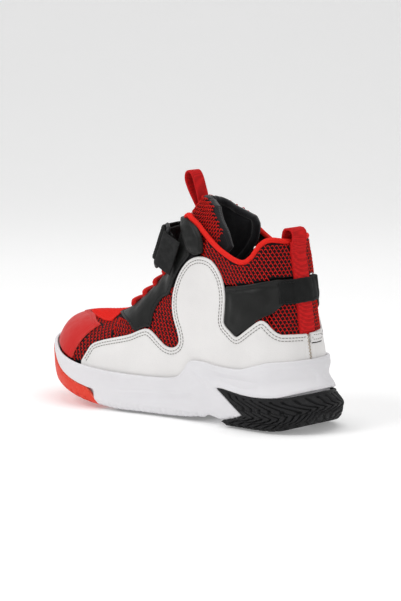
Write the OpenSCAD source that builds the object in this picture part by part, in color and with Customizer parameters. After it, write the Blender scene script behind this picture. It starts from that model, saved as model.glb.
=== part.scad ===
// Child's basketball high top: one shoe, toe towards -X, heel towards +X, ground at z = 0.
// The near side of the shoe is -Y. Every panel is a thin skin laid on one smooth foot form.

/* [Foot form] */
// widest half width at the ball of the foot, near side
ball_w = 42.5; // [36:0.5:48]
// half width of the upper at the ankle
ankle_w = 31.5; // [27:0.5:36]
// half width at the heel
heel_w = 32; // [28:0.5:36]
// where the upper's toe starts, mm ahead of the origin
toe_x = -118; // [-125:1:-110]
// height where the form has its widest section
form_z0 = 12; // [8:1:16]

/* [Sole] */
// front of the sole
sole_front = -123; // [-130:1:-118]
// back of the sole, outside the heel rubber
sole_back = 122.5; // [116:0.5:126]
// thickness of the wrapped rubber
rubber_t = 2.8; // [2:0.1:4]
// thickness of the bottom rubber
tread_t = 3; // [2:0.1:4]

/* [Upper] */
// thickness of the knit
knit_t = 0.9; // [0.6:0.1:1.4]
// thickness of the leather overlays
leather_t = 1.1; // [0.8:0.1:1.6]
// thickness of the tongue at its middle
tongue_t = 6.5; // [4:0.5:9]
// width of the webbing
webbing_w = 15; // [12:0.5:18]

/* [Strap] */
// width of the ankle strap
strap_w = 25; // [20:1:30]
// thickness of the ankle strap
strap_t = 1.8; // [1.2:0.1:2.4]
// thickness of the ring's bar
ring_d = 2.6; // [2:0.2:4]
// diameter of the elastic lace
lace_d = 4; // [3:0.2:5]

/* [Hidden] */
$fn = 20;
// smooth curve through hand-chosen points
function spline(p, k = 4) = concat(
    [for (i = [0:len(p) - 2], j = [0:k - 1])
        let (a = p[max(i - 1, 0)], b = p[i], c = p[i + 1], d = p[min(i + 2, len(p) - 1)], t = j / k)
        0.5 * (2 * b + (c - a) * t + (2 * a - 5 * b + 4 * c - d) * t * t
            + (3 * b - a - 3 * c + d) * t * t * t)],
    [p[len(p) - 1]]);
// side profile of the instep and throat: x, z
front_pts = [[toe_x, 30], [-117.5, 38], [-115, 46], [-109, 53.5], [-100, 57.5], [-88, 59.5], [-74, 61],
    [-58, 64], [-43, 71], [-29, 82], [-15, 96], [-3.5, 111], [2.5, 127], [7, 143], [12, 157]];
// side profile of the heel: z, x
back_pts = [[10, 107], [25, 107.5], [42, 105.5], [60, 102.5], [80, 99.5], [97, 97], [112, 94.5],
    [125, 92], [160, 90]];
// plan half widths: x, y
near_pts = [[toe_x, 34], [-90, ball_w - 1.5], [-62, ball_w], [-30, 39], [5, 33.5], [40, ankle_w],
    [75, heel_w], [107, heel_w]];
far_pts = [[toe_x, 37], [-90, ball_w - 1.5], [-62, ball_w - 1.5], [-30, 36], [5, ankle_w], [40, 30],
    [75, ankle_w], [107, heel_w]];
front_by_x = spline(front_pts);
front_by_z = [for (p = front_by_x) [p[1], p[0]]];
back_by_z = spline(back_pts);
near_by_x = spline(near_pts);
far_by_x = spline(far_pts);
// top of the sole's footbed and bottom of the sole: x, z
bed_by_x = spline([[-118, 31], [-105, 26], [-92, 21.5], [-78, 17.5], [-60, 15], [-30, 14], [0, 15],
    [30, 17.5],
    [70, 20], [110, 21]]);
ground_by_x = spline([[-123, 29], [-118, 24], [-108, 17.5], [-95, 12], [-80, 7.5], [-65, 4], [-50, 1.5],
    [-38, 0.2], [-28, 0], [0, 0], [22, 0.8], [36, 2.4], [48, 1], [58, 0], [95, 0], [108, 2.5], [116,
        6], [121, 10]]);
// top edge of the sole's side wall: x, z
lip_by_x = spline([[-123, 43], [-112, 41], [-100, 37.5], [-88, 33.5], [-70, 29.5], [-50, 27.5], [-30, 26.5],
    [4, 26.5], [22, 28.5], [30, 34], [36, 40.5], [48, 41.5], [64, 40], [84, 40], [98, 43.5], [107, 46],
        [121, 47]]);

function mix(a, b, t) = a + (b - a) * t;
function top_z(x) = x > 12 ? 157 + (x - 12) * 2.9 : lookup(x, front_by_x);
function front_x(z) = z <= 30 ? toe_x : lookup(z, front_by_z);
function back_x(z) = lookup(z, back_by_z);
// rounding of an outline's end: d inside the end, over length l
function ease(d, l, p) = pow(max(0, 1 - pow(min(1, max(0, 1 - d / l)), p)), 1 / p);
function plan_w(x, z, s) = lookup(x, s < 0 ? near_by_x : far_by_x) * ease(x - toe_x, 46, 2.3)
    * ease(back_x(z) - x, 36, 2.4);
function rise(x, z) = min(1, max(0, (z - form_z0) / (top_z(x) - form_z0)));
function half_w(x, z, s) = plan_w(x, z, s) * sqrt(1 - pow(rise(x, z), 2.8));
// negative inside the foot form, positive outside
function outside(p) = let (w = half_w(p[0], p[2], p[1])) p[1] * p[1] - w * w;
function unit(v) = v / max(norm(v), 1e-9);
function normal(p, e = 0.35) = unit([
    outside(p + [e, 0, 0]) - outside(p - [e, 0, 0]),
    outside(p + [0, e, 0]) - outside(p - [0, e, 0]),
    outside(p + [0, 0, e]) - outside(p - [0, 0, e])]);

// ring chart: a from -1 (back) over the near side to 0 (front), over the far side to 1 (back), at height z
function ring_pt(a, z) = let (u = abs(a), s = a < 0 ? -1 : 1, f = front_x(z),
        x = f + (back_x(z) - f) * (1 - cos(180 * u)) / 2)
    [x, s * half_w(x, z, s), z];
// ring chart value of the near (s = -1) or far (s = 1) point at x, z
function ring_a(x, z, s) = let (f = front_x(z))
    s * acos(min(1, max(-1, 1 - 2 * (x - f) / (back_x(z) - f)))) / 180;
// ring chart value where the form is y wide at height z
function throat_a(y, z, s, lo = 0, hi = 0.5, n = 14) = n == 0 ? s * (lo + hi) / 2 :
    let (m = (lo + hi) / 2)
    abs(ring_pt(s * m, z)[1]) < y ? throat_a(y, z, s, m, hi, n - 1) : throat_a(y, z, s, lo, m, n - 1);
// dome chart for the toe: x, and f from 0 (near edge) over 90 (top) to 180 (far edge)
function dome_pt(x, f) = [x, -cos(f) * plan_w(x, 20, -cos(f) < 0 ? -1 : 1),
    form_z0 + (top_z(x) - form_z0) * pow(sin(f), 2 / 2.8)];

// list of lengths n sampled along a list of chart points
function resample(p, n) = [for (i = [0:n - 1]) let (t = i * (len(p) - 1) / (n - 1), j = min(floor(t),
    len(p) - 2))
    mix(p[j], p[j + 1], t - j)];
// rows of chart points between a bottom line and a top line
function rows(a, b, m) = [for (j = [0:m]) [for (i = [0:len(a) - 1]) mix(a[i], b[i], j / m)]];
function ring_grid(g) = [for (r = g) [for (q = r) ring_pt(q[0], q[1])]];
function dome_grid(g) = [for (r = g) [for (q = r) dome_pt(q[0], q[1])]];
function pick(d, i, j) = is_list(d) ? (is_list(d[i]) ? d[i][j] : d[i]) : d;

// closed thin solid on a grid of form points: from offset d0 to offset d1 along the normals
module skin(g, d0, d1) {
    nr = len(g);
    nc = len(g[0]);
    nn = [for (r = g) [for (p = r) normal(p)]];
    pts = concat(
        [for (i = [0:nr - 1], j = [0:nc - 1]) g[i][j] + nn[i][j] * pick(d0, i, j)],
        [for (i = [0:nr - 1], j = [0:nc - 1]) g[i][j] + nn[i][j] * pick(d1, i, j)]);
    // the grid's handedness decides which way round the faces go
    mid = g[floor(nr / 2)][floor(nc / 2)];
    hand = cross(g[floor(nr / 2)][floor(nc / 2) - 1] - mid, g[floor(nr / 2) - 1][floor(nc / 2)] - mid)
        * nn[floor(nr / 2)][floor(nc / 2)] > 0;
    grid_solid(pts, nr, nc, hand);
}
// triangles of a closed solid between an inner grid and an outer grid of nr by nc points
module grid_solid(pts, nr, nc, hand) {
    m = nr * nc;
    sheet = [for (i = [0:nr - 2], j = [0:nc - 2], k = [0:1]) let (a = i * nc + j)
        k == 0 ? [a, a + 1, a + nc + 1] : [a, a + nc + 1, a + nc]];
    edge = concat([for (j = [0:nc - 1]) j], [for (i = [1:nr - 1]) i * nc + nc - 1],
        [for (j = [nc - 2:-1:0]) (nr - 1) * nc + j], [for (i = [nr - 2:-1:1]) i * nc]);
    ne = len(edge);
    rim = [for (i = [0:ne - 1], k = [0:1]) let (a = edge[i], b = edge[(i + 1) % ne])
        k == 0 ? [a, a + m, b] : [b, a + m, b + m]];
    faces = concat([for (f = sheet) f], [for (f = sheet) [f[0] + m, f[2] + m, f[1] + m]], rim);
    polyhedron(points = pts, faces = hand ? faces : [for (f = faces) [f[2], f[1], f[0]]]);
}
// closed solid through rings of n points each, capped where near and far points face each other
module ring_loft(rings, flip = false) {
    n = len(rings[0]);
    k = len(rings);
    pts = [for (r = rings) for (p = r) p];
    wall = [for (i = [0:k - 2], j = [0:n - 1], h = [0:1]) let (a = i * n + j, b = i * n + (j + 1) % n)
        h == 0 ? [a, b, b + n] : [a, b + n, a + n]];
    cap = [for (j = [0:n / 2 - 1], h = [0:1]) let (a = j, b = j + 1, c = (n - j - 1) % n, d = (n - j) % n)
        h == 0 ? [a, c, b] : [a, d, c]];
    ends = concat([for (f = cap) if (f[0] != f[1] && f[1] != f[2] && f[0] != f[2]) f],
        [for (f = cap) if (f[0] != f[1] && f[1] != f[2] && f[0] != f[2]) [for (q = [2:-1:0]) f[q] + (k - 1) * n]]);
    faces = concat(wall, ends);
    polyhedron(points = pts, faces = flip ? faces : [for (f = faces) [f[2], f[1], f[0]]]);
}
// closed bar of constant section swept along a path; u and v are the section's two directions at each point
module sweep(path, us, vs, section) {
    n = len(section);
    k = len(path);
    pts = [for (i = [0:k - 1]) for (q = section) path[i] + us[i] * q[0] + vs[i] * q[1]];
    wall = [for (i = [0:k - 2], j = [0:n - 1], h = [0:1]) let (a = i * n + j, b = i * n + (j + 1) % n)
        h == 0 ? [a, b, b + n] : [a, b + n, a + n]];
    ends = concat([for (j = [1:n - 2]) [0, j + 1, j]],
        [for (j = [1:n - 2]) [(k - 1) * n, (k - 1) * n + j, (k - 1) * n + j + 1]]);
    hand = cross(us[0], vs[0]) * (path[1] - path[0]) > 0;
    faces = concat(wall, ends);
    polyhedron(points = pts, faces = hand ? [for (f = faces) [f[2], f[1], f[0]]] : faces);
}
function round_section(r, n = 8) = [for (i = [0:n - 1]) r * [cos(360 * i / n), sin(360 * i / n)]];
function flat_section(w, t) = [[-w / 2, -t / 2], [w / 2, -t / 2], [w / 2, t / 2], [-w / 2, t / 2]];
function tangents(p) = [for (i = [0:len(p) - 1]) unit(p[min(i + 1, len(p) - 1)] - p[max(i - 1, 0)])];

/* sole */
sole_n = 56;
// half width of the sole at its widest level
sole_near = spline([[-123, 30], [-114, 36], [-94, 43], [-64, 46.5], [-34, 43], [-4, 38], [26, 35.5],
    [56, 36],
    [86, 36], [121, 36]]);
sole_far = spline([[-123, 34], [-114, 38], [-94, 43], [-64, 46.5], [-34, 41.5], [-4, 36], [26, 34],
    [56, 35],
    [86, 36], [121, 36]]);
function sole_w(x, s, f, b) = lookup(x, s < 0 ? sole_near : sole_far) * ease(x - f, 50,
    2.2) * ease(b - x, 40, 2.3);
// 1 where rubber wraps up the side wall, 0 at the waist
function wrapped(u) = max(1 - min(1, max(0, (u - 0.37) / 0.04)), min(1, max(0, (u - 0.6) / 0.04)));
// one ring of the midsole: pushed in by d from the sole's outline, and further under the wrapped rubber
function sole_ring(d) = [for (i = [0:sole_n - 1])
    let (a = i * 2 / sole_n, u = a <= 1 ? a : 2 - a, p = sole_pt(a, d + (rubber_t + 0.4) * wrapped(u), 0))
    p];
function at_height(r, h) = [for (p = r) [p[0], p[1], h(p[0])]];
ground = function (x) max(0, lookup(x, ground_by_x));
lip = function (x) lookup(x, lip_by_x);
bed = function (x) lookup(x, bed_by_x);
// ring that follows the foot form at offset d: same count of points as the sole's rings
function form_ring(d, h, n = sole_n) = [for (i = [0:n - 1])
    let (a = i * 2 / n, u = a <= 1 ? a : 2 - a, s = a <= 1 ? -1 : 1,
        z0 = h(mix(toe_x, 107, (1 - cos(180 * u)) / 2)), p = ring_pt((a <= 1 ? -1 : 1) * u, z0),
            q = normal(p))
    p + unit([q[0], q[1], 0]) * d];

module midsole() {
    color("whitesmoke") ring_loft([
        at_height(sole_ring(6), function (x) ground(x) + tread_t + 0.3),
        at_height(sole_ring(2.2), function (x) ground(x) + tread_t + 2.5),
        at_height(sole_ring(0.8), function (x) mix(ground(x), lip(x), 0.42)),
        at_height(sole_ring(0.8), function (x) mix(ground(x), lip(x), 0.6)),
        at_height(sole_ring(1.6), function (x) mix(ground(x), lip(x), 0.8)),
        form_ring(4.2, function (x) lip(x) - 1),
        form_ring(3.2, function (x) lip(x)),
        form_ring(2.1, function (x) lip(x) - 0.4),
        form_ring(2.1, function (x) bed(x) + 3),
        form_ring(-0.5, function (x) bed(x)),
    ]);
}
// point on the sole's wall: a as in the ring chart but 0..2, pushed in by d
function sole_pt(a, d, z) = let (u = a <= 1 ? a : 2 - a, s = a <= 1 ? -1 : 1,
        x = mix(sole_front + d, sole_back - d, (1 - cos(180 * u)) / 2),
        w = sole_w(x, s, sole_front + d, sole_back - d))
    [x, s * max(w * 0.35, w - d * min(1, w / 12)), z];
// wrapped rubber: each row is [start a, end a, inset, height function, height of the inner face]
module wrapped_rubber(list, n) {
    pts = concat(
        [for (r = list) for (i = [0:n]) let (a = mix(r[0], r[1], i / n) , b = a < 0 ? a + 2 : a,
            p = sole_pt(b, r[2] + r[4], 0)) [p[0], p[1], r[3](p[0]) + r[5]]],
        [for (r = list) for (i = [0:n]) let (a = mix(r[0], r[1], i / n), b = a < 0 ? a + 2 : a,
            p = sole_pt(b, r[2], 0)) [p[0], p[1], r[3](p[0])]]);
    grid_solid(pts, len(list), n + 1, true);
}
module heel_outsole() {
    top = function (x) lookup(x, [[50, 22.5], [58, 24.5], [78, 22.5], [100, 22.5], [112, 25], [121, 27.5]]);
    color("dimgray") wrapped_rubber([
        [0.665, 1.335, 22, ground, 0, tread_t],
        [0.665, 1.335, 12, ground, 0, tread_t],
        [0.665, 1.335, 5, ground, 0, tread_t],
        [0.66, 1.34, 2, function (x) ground(x) + 2, rubber_t, 1.2],
        [0.71, 1.29, 0.6, function (x) max(8, ground(x) + 4), rubber_t, 0],
        [0.68, 1.32, 0, function (x) mix(ground(x), top(x), 0.66), rubber_t, 0],
        [0.643, 1.357, 0.6, top, rubber_t, 0],
    ], 26);
}
module toe_outsole() {
    top = function (x) lookup(x, [[-123, 41], [-112, 37.5], [-98, 29], [-88, 22.5], [-74, 17], [-60, 13.5],
        [-50, 12]]);
    color("tomato") wrapped_rubber([
        [-0.33, 0.33, 20, ground, 0, tread_t],
        [-0.35, 0.35, 12, ground, 0, tread_t],
        [-0.36, 0.36, 6, ground, 0, tread_t],
        [-0.362, 0.362, 2.5, function (x) ground(x) + 2, rubber_t, 1],
        [-0.358, 0.358, 0.8, function (x) mix(ground(x) + 2, top(x), 0.5), rubber_t, 0],
        [-0.345, 0.345, 0.4, top, rubber_t, 0],
    ], 28);
}
module forefoot_outsole() {
    color("dimgray") ring_loft([for (h = [0, tread_t - 0.1]) [for (i = [0:27])
        let (a = i / 14, u = a <= 1 ? a : 2 - a, s = a <= 1 ? -1 : 1, x = mix(-46, 34,
            (1 - cos(180 * u)) / 2),
            w = (lookup(x, s < 0 ? sole_near : sole_far) - 5) * ease(x + 46, 12, 3) * ease(34 - x, 12, 3))
        [x, s * w, ground(x) + h]]]);
}

/* inside the shoe */
// flat board between two heights above the footbed, d inside the foot form
module board(d, h0, h1, n) {
    ring_loft([form_ring(-d, function (x) bed(x) + h0, n), form_ring(-d, function (x) bed(x) + h1, n)]);
}
module lasting_board() {
    color("tan") board(2, 0.5, 1.8, 52);
}
module sockliner() {
    color("darkslategray") board(5, 2.1, 6.5, sole_n);
}
module toe_puff() {
    a = [for (x = [-84, -95, -106]) ring_a(x, 34, -1)];
    lo = concat([for (q = a) [q, 34]], [[-0.06, 36], [0, 36], [0.06, 36]], [for (i = [2:-1:0]) [-a[i],
        34]]);
    hi = concat([for (x = [-90, -98, -104]) [ring_a(x, 52, -1), 52]], [[-0.1, 54], [0, 54.5], [0.1, 54]],
        [for (x = [-104, -98, -90]) [ring_a(x, 52, 1), 52]]);
    color("beige") skin(ring_grid(rows(resample(lo, 15), resample(hi, 15), 4)), -2.7, -1.8);
}
module heel_counter() {
    lo = [for (i = [0:14]) [mix(-0.62, -1.38, i / 14), 24]];
    hi = [for (i = [0:14]) [mix(-0.7, -1.3, i / 14), 66 - 8 * pow(abs(i / 7 - 1), 2)]];
    color("beige") skin(around_grid(rows(lo, hi, 4)), -3.2, -1.9);
}
// ring chart continued past the back: a from 0 down to -2 goes once round by the near side first
function around_grid(g) = [for (r = g) [for (q = r) ring_pt(q[0] < -1 ? q[0] + 2 : q[0], q[1])]];

// height of the collar's edge: a as in around_grid
collar_line = spline([[-2, 140], [-1.82, 139.5], [-1.72, 137], [-1.6, 128], [-1.47, 117], [-1.35, 111.5],
    [-1.285, 115], [-1.22, 123.5], [-1.15, 126.5], [-1, 124.5], [-0.85, 126.5], [-0.78, 123.5],
        [-0.715, 114.5],
    [-0.65, 111], [-0.53, 117], [-0.4, 128], [-0.28, 137], [-0.18, 139.5], [0, 140]]);
function collar_z(a) = lookup(a, collar_line);
module collar_knit() {
    n = 34;
    a = [for (i = [0:n]) mix(-0.43, -1.57, i / n)];
    // lower edge: down behind the white lobe, along the ankle panel and over the heel band
    low_line = [[-1.6, 114], [-1.5, 101.5], [-1.43, 94.5], [-1.3, 97], [-1.16, 101.5], [-1, 102],
        [-0.84, 101.5],
        [-0.7, 97], [-0.57, 94.5], [-0.5, 101.5], [-0.4, 114]];
    color("firebrick") skin(around_grid(rows([for (q = a) [q, lookup(q, low_line)]],
        [for (q = a) [q, collar_z(q) - 2.4]], 3)), -0.4 - knit_t, -0.4);
}
module collar_foam() {
    n = 30;
    a = [for (i = [0:n]) mix(-0.6, -1.49, i / n)];
    color("khaki") skin(around_grid(rows([for (q = a) [q, 76]], [for (q = a) [q, collar_z(q) - 5]], 3)),
        [-3.6, -6.6, -7, -4.6], -1.9);
}
module collar_binding() {
    n = 56;
    a = [for (i = [0:n]) mix(-0.27, -1.73, i / n)];
    p = [for (q = a) let (g = ring_pt(q < -1 ? q + 2 : q, collar_z(q))) g - 1.6 * normal(g)];
    t = tangents(p);
    u = [for (i = [0:n]) unit([normal(p[i])[0], normal(p[i])[1], 0])];
    v = [for (i = [0:n]) unit(cross(t[i], u[i]))];
    color("red") sweep(p, u, v, round_section(1.7));
}
module quarter_lining() {
    n = 32;
    a = [for (i = [0:n]) mix(-0.61, -1.48, i / n)];
    color("black") skin(around_grid(rows([for (q = a) [q, 29]], [for (q = a) [q, collar_z(q) - 3.4]], 4)),
        [-4.8, -6.8, -8.8, -9, -6.3], [-4, -6, -8, -8.2, -5.5]);
}

/* toe of the upper */
// dome chart grid between a front x and a back x, both functions of f
function dome_rows(f0, f1, n, front, back, m) = [for (j = [0:m]) [for (i = [0:n])
    let (f = mix(f0, f1, i / n)) dome_pt(mix(front(f), back(f), j / m), f)]];
// 0 at the top of the dome, 1 at its edges
function side(f) = abs(f - 90) / 90;
module vamp_mesh() {
    color("firebrick") skin(dome_rows(16, 164, 20, function (f) -98 + 16 * side(f), function (f) -47.5, 6),
        -0.4 - knit_t, -0.4);
}
module vamp_lining() {
    color("black") skin(dome_rows(24, 156, 18, function (f) -102 + 8 * side(f), function (f) -48, 5),
        -4, -3.3);
}
module toe_cap() {
    // bottom edge from the near side round the toe to the far side, and the edge over the top
    lo = [[-78, 31.5], [-90, 35], [-101, 39], [-110, 42], [-115, 43]];
    hi = [for (p = [[-64, 26], [-79, 15.5], [-89, 9], [-95.5, 5], [-98.5, 2.2]])
        [p[0], form_z0 + (top_z(p[0]) - form_z0) * pow(1 - pow(p[1] / plan_w(p[0], 20, -1), 2), 1 / 2.8)]];
    a = concat([for (p = lo) [ring_a(p[0], p[1], -1), p[1]]], [[0, 44]],
        [for (i = [4:-1:0]) [ring_a(lo[i][0], lo[i][1], 1), lo[i][1]]]);
    b = concat([for (p = hi) [ring_a(p[0], p[1], -1), p[1]]], [[0, 57.6]],
        [for (i = [4:-1:0]) [ring_a(hi[i][0], hi[i][1], 1), hi[i][1]]]);
    g = [for (r = rows(resample(a, 23), resample(b, 23), 4)) [for (q = r) ring_pt(q[0], q[1])]];
    color("crimson") skin(g, 0.25, 0.25 + leather_t);
}
module vamp_overlay() {
    // pointed towards the toe, wide where it meets the eyestays
    color("red") skin(dome_rows(56, 124, 12, function (f) -97.5 + 88 * side(f),
        function (f) -60, 5), 0.25, 0.25 + leather_t);
}

/* side panels: each is a bottom line and a top line in x, z, joined by ruled columns */
module side_skin(lo, hi, m, s, d0, d1) {
    skin([for (r = rows(lo, hi, m)) [for (q = r) [q[0], s * half_w(q[0], q[1], s), q[1]]]], d0, d1);
}
// throat edge as x, z points, w from the middle, at the given heights
function throat_line(w, zs, s) = [for (z = zs) let (p = ring_pt(throat_a(w, z, s), z)) [p[0], z]];
module quarter_mesh(s) {
    lo = [for (x = [-45.5, -38, -28, -16, -2, 12, 24, 36, 48, 60, 70, 78, 84, 88]) [x, bed(x) + 3]];
    hi = concat(throat_line(20, [71, 79, 89, 101, 112, 122], s),
        [[13, 131], [26.5, 123], [30, 112.5], [39, 99.6], [50.5, 92.8], [64, 94.2], [77, 97], [87.6,
            98.8]]);
    color("firebrick") side_skin(lo, hi, 7, s, -0.4 - knit_t, -0.4);
}
module eyestay(s) {
    inner = throat_line(13, [66.5, 71, 76, 82, 89, 96, 103, 110, 117, 124, 129, 133], s);
    outer = [[-57, 57.5], [-40, 58.5], [-26, 55.3], [-13.8, 60.8], [-10, 70], [-3, 80.5], [5, 83.5],
        [8.5, 93],
        [14, 102.5], [22.5, 112], [15.5, 121], [8, 130]];
    color("dimgray") resize([0, 0, 0]) difference() {
        side_skin(resample(outer, 19), resample(inner, 19), 5, s, 0.25, 0.25 + leather_t);
        for (p = eyelets(s))
            aimed(p - 4 * normal(p), normal(p)) cylinder(h = 8, r = lace_d / 2 + 0.8, $fn = 12);
    }
}
module side_panel(s) {
    top = [[-68, 31], [-65, 36.5], [-61.5, 42.5], [-46, 48], [-29, 52.5], [-13.2, 58.6], [-1.4, 52.5],
        [8.3, 47.5],
        [15.5, 51.5], [14.6, 58], [9.3, 73], [8.6, 84], [13.5, 98.5], [22.4, 108.5], [33, 112], [44, 110.5],
        [52, 102.5], [56.8, 91.7], [56.2, 79.5], [55.6, 68.8], [61, 65], [67.3, 61.8], [78, 68.8],
            [85.8, 74.6],
        [91, 69.5], [96.6, 64.5]];
    foot = [-69, -64, -58, -46, -32, -17, -3, 8, 13.5, 16, 18, 20, 23, 27.5, 33, 38.5, 43, 47, 50, 53,
        59.5, 67, 77,
        86, 92.5, 98];
    low = [for (x = foot) [x, bed(x) + 5]];
    color("white") side_skin(low, top, 5, s, 0.25, 0.25 + leather_t);
}
module heel_knit() {
    n = 16;
    a = [for (i = [0:n]) mix(-0.835, -1.165, i / n)];
    color("firebrick") skin(around_grid(rows([for (q = a) [q, 25]], [for (q = a) [q, 100.6]], 6)),
        -0.4 - knit_t, -0.4);
}
module heel_panel() {
    n = 12;
    a = [for (i = [0:n]) mix(-0.905, -1.095, i / n)];
    g = around_grid(rows([for (q = a) [q, 26]], [for (q = a) [q, 63.5]], 4));
    color("white") skin(g, 0.25, 0.25 + leather_t);
}
module ankle_panel(s) {
    low = [[58.6, 70], [60.5, 66.9], [64, 64.8], [67.3, 63.3], [72, 66.2], [78, 70.2], [82, 73.4],
        [86.5, 76.6],
        [90, 77.8], [93.2, 82]];
    top = [[59, 94.3], [61, 94.7], [64, 95.1], [68, 95.7], [72, 96.4], [76, 97.2], [80, 98.1], [84, 99],
        [88.5, 99.9], [92.4, 100.6]];
    color("dimgray") side_skin(low, top, 4, s, 0.25, 0.25 + leather_t);
}
module collar_roll(s) {
    // padded roll that slants down along the front of the collar
    low = [[8, 134.8], [13, 127], [20, 118], [26, 112.6], [30, 112.6]];
    top = [[17.5, 135], [24.5, 131.6], [31, 125.6], [34.5, 119], [35, 114]];
    g = [for (r = rows(resample(low, 9), resample(top, 9), 5)) [for (q = r) [q[0], s * half_w(q[0],
        q[1], s), q[1]]]];
    swell = [for (j = [0:5]) [for (i = [0:8]) 0.7 + 3 * pow(sin(180 * j / 5),
        0.7) * pow(sin(180 * i / 8), 0.5)]];
    color("black") skin(g, 0.25, swell);
}

/* heel */
module heel_webbing() {
    zs = [for (i = [0:14]) mix(65, 121.5, i / 14)];
    g = [for (z = zs) [for (y = [-webbing_w / 2, 0, webbing_w / 2]) heel_pt(y, z)]];
    color("firebrick") skin(g, 0.2, 1.3);
}
// point of the form's back at y, z
function heel_pt(y, z, lo = 0.7, hi = 1, n = 12) = n == 0 ? ring_pt((y < 0 ? -1 : 1) * (lo + hi) / 2, z) :
    let (m = (lo + hi) / 2, s = y < 0 ? -1 : 1)
    abs(ring_pt(s * m, z)[1]) > abs(y) ? heel_pt(y, z, m, hi, n - 1) : heel_pt(y, z, lo, m, n - 1);
module heel_band() {
    n = 22;
    a = [for (i = [0:n]) mix(-0.868, -1.132, i / n)];
    color("black") skin(around_grid(rows([for (q = a) [q, 84]], [for (q = a) [q, 100.3]], 3)), 1.55, 2.65);
}
module heel_pull_loop() {
    // webbing from outside the collar, up and over, to inside it
    x0 = back_x(122) + 1.4;
    path = spline([[x0 + 0.5, 0, 124.2], [x0 + 0.8, 0, 127], [x0 + 0.6, 0, 130.6], [x0 - 1.4, 0, 132.7],
        [x0 - 5.4, 0, 132.9], [x0 - 7.4, 0, 131], [x0 - 8.2, 0, 127], [x0 - 8.6, 0, 124.2]], 3);
    t = tangents(path);
    color("firebrick") sweep(path, [for (q = t) [0, 1, 0]], [for (q = t) unit(cross(q, [0, 1, 0]))],
        flat_section(webbing_w - 1, 1.4));
}

/* tongue: c runs from -1 (near edge) to 1 (far edge) */
tongue_split = 135;
// near and far edges of the upper tongue at height z, and its top edge
near_edge = [[120, 0.56], [130, 0.515], [141, 0.43], [151, 0.344], [156, 0.33]];
far_edge = [[120, 0.46], [130, 0.465], [139, 0.43], [156, 0.4]];
top_edge = spline([[-1, 147], [-0.8, 151.3], [-0.5, 153.4], [0, 153], [0.5, 148.5], [0.8, 142.5], [1,
    136.5]]);
function tongue_a(c, z) = c * (c < 0 ? lookup(z, near_edge) : lookup(z, far_edge));
// how far the tongue's front lies inside the form: deep beside the ankle, shallow in the middle
function tongue_deep(c) = 1.7 + 4.3 * pow(min(1, max(0, (abs(c) - 0.25) / 0.45)), 1.5);
module tongue_layer(t0, t1) {
    n = 16;
    g = [for (j = [0:5]) [for (i = [0:n]) let (c = -1 + 2 * i / n, z = mix(tongue_split + 0.7,
        lookup(c, top_edge), j / 5))
        ring_pt(tongue_a(c, z), z)]];
    pinch = [1, 1, 1, 1, 0.96, 0.8];
    skin(g, [for (j = [0:5]) [for (i = [0:n]) -tongue_deep(-1 + 2 * i / n) - t1 * pinch[j]]],
        [for (j = [0:5]) [for (i = [0:n]) -tongue_deep(-1 + 2 * i / n) - t0 * pinch[j]]]);
}
module tongue_knit() {
    color("firebrick") tongue_layer(0, 0.9);
}
module tongue_foam() {
    color("khaki") tongue_layer(1.15, tongue_t - 1.1);
}
module tongue_lining() {
    color("black") tongue_layer(tongue_t - 0.8, tongue_t);
}
// lower tongue: from the vamp to the split
function low_a(c, z) = let (s = c < 0 ? -1 : 1, w = min(1, max(0, (z - 88) / 32)))
    c * mix(abs(throat_a(mix(21, 27, min(1, (z - 66) / 22)), min(z, 88), s)),
        lookup(z, c < 0 ? near_edge : far_edge), pow(w, 0.8));
module low_tongue_layer(t0, t1) {
    n = 14;
    zs = [67, 74, 82, 90, 99, 108, 115, 122, 128, tongue_split - 0.7];
    // deeper below the strap, so that the lace has room under the eyestays
    deep = [5.6, 5.6, 5.6, 5.6, 5.6, 5, 3.2, 2, 1.7, 1.7];
    g = [for (z = zs) [for (i = [0:n]) let (c = -1 + 2 * i / n) ring_pt(low_a(c, z), z)]];
    skin(g, [for (j = [0:9]) [for (i = [0:n]) -max(deep[j], tongue_deep(-1 + 2 * i / n)) - t1]],
        [for (j = [0:9]) [for (i = [0:n]) -max(deep[j], tongue_deep(-1 + 2 * i / n)) - t0]]);
}
module tongue_base() {
    color("black") low_tongue_layer(0, tongue_t * 0.6);
}
module tongue_base_lining() {
    color("black") low_tongue_layer(tongue_t * 0.6 + 0.25, tongue_t * 0.6 + 1);
}
module tongue_pull_loop() {
    path = spline([[3.4, 0, 139], [1, 0, 146], [-2, 0, 153.5], [-3.2, 0, 160], [-1.6, 0, 164.6], [1.8,
        0, 165.6],
        [4.4, 0, 162], [5.2, 0, 155], [5.6, 0, 147], [5.5, 0, 139]], 3);
    t = tangents(path);
    color("firebrick") sweep(path, [for (q = t) [0, 1, 0]], [for (q = t) unit(cross(q, [0, 1, 0]))],
        flat_section(webbing_w, 1.3));
}

/* lace: one elastic cord, over the tongue at each row and up under the eyestay to the next */
lace_rows = [69.5, 77.5, 86, 94.5];
function eyelet(s, z) = let (a = throat_a(17, z, s)) ring_pt(a, z);
function eyelets(s) = [for (z = lace_rows) eyelet(s, z)];
module aimed(p, d) {
    translate(p) rotate([0, acos(d[2] / norm(d)), atan2(d[1], d[0])]) children();
}
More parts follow.
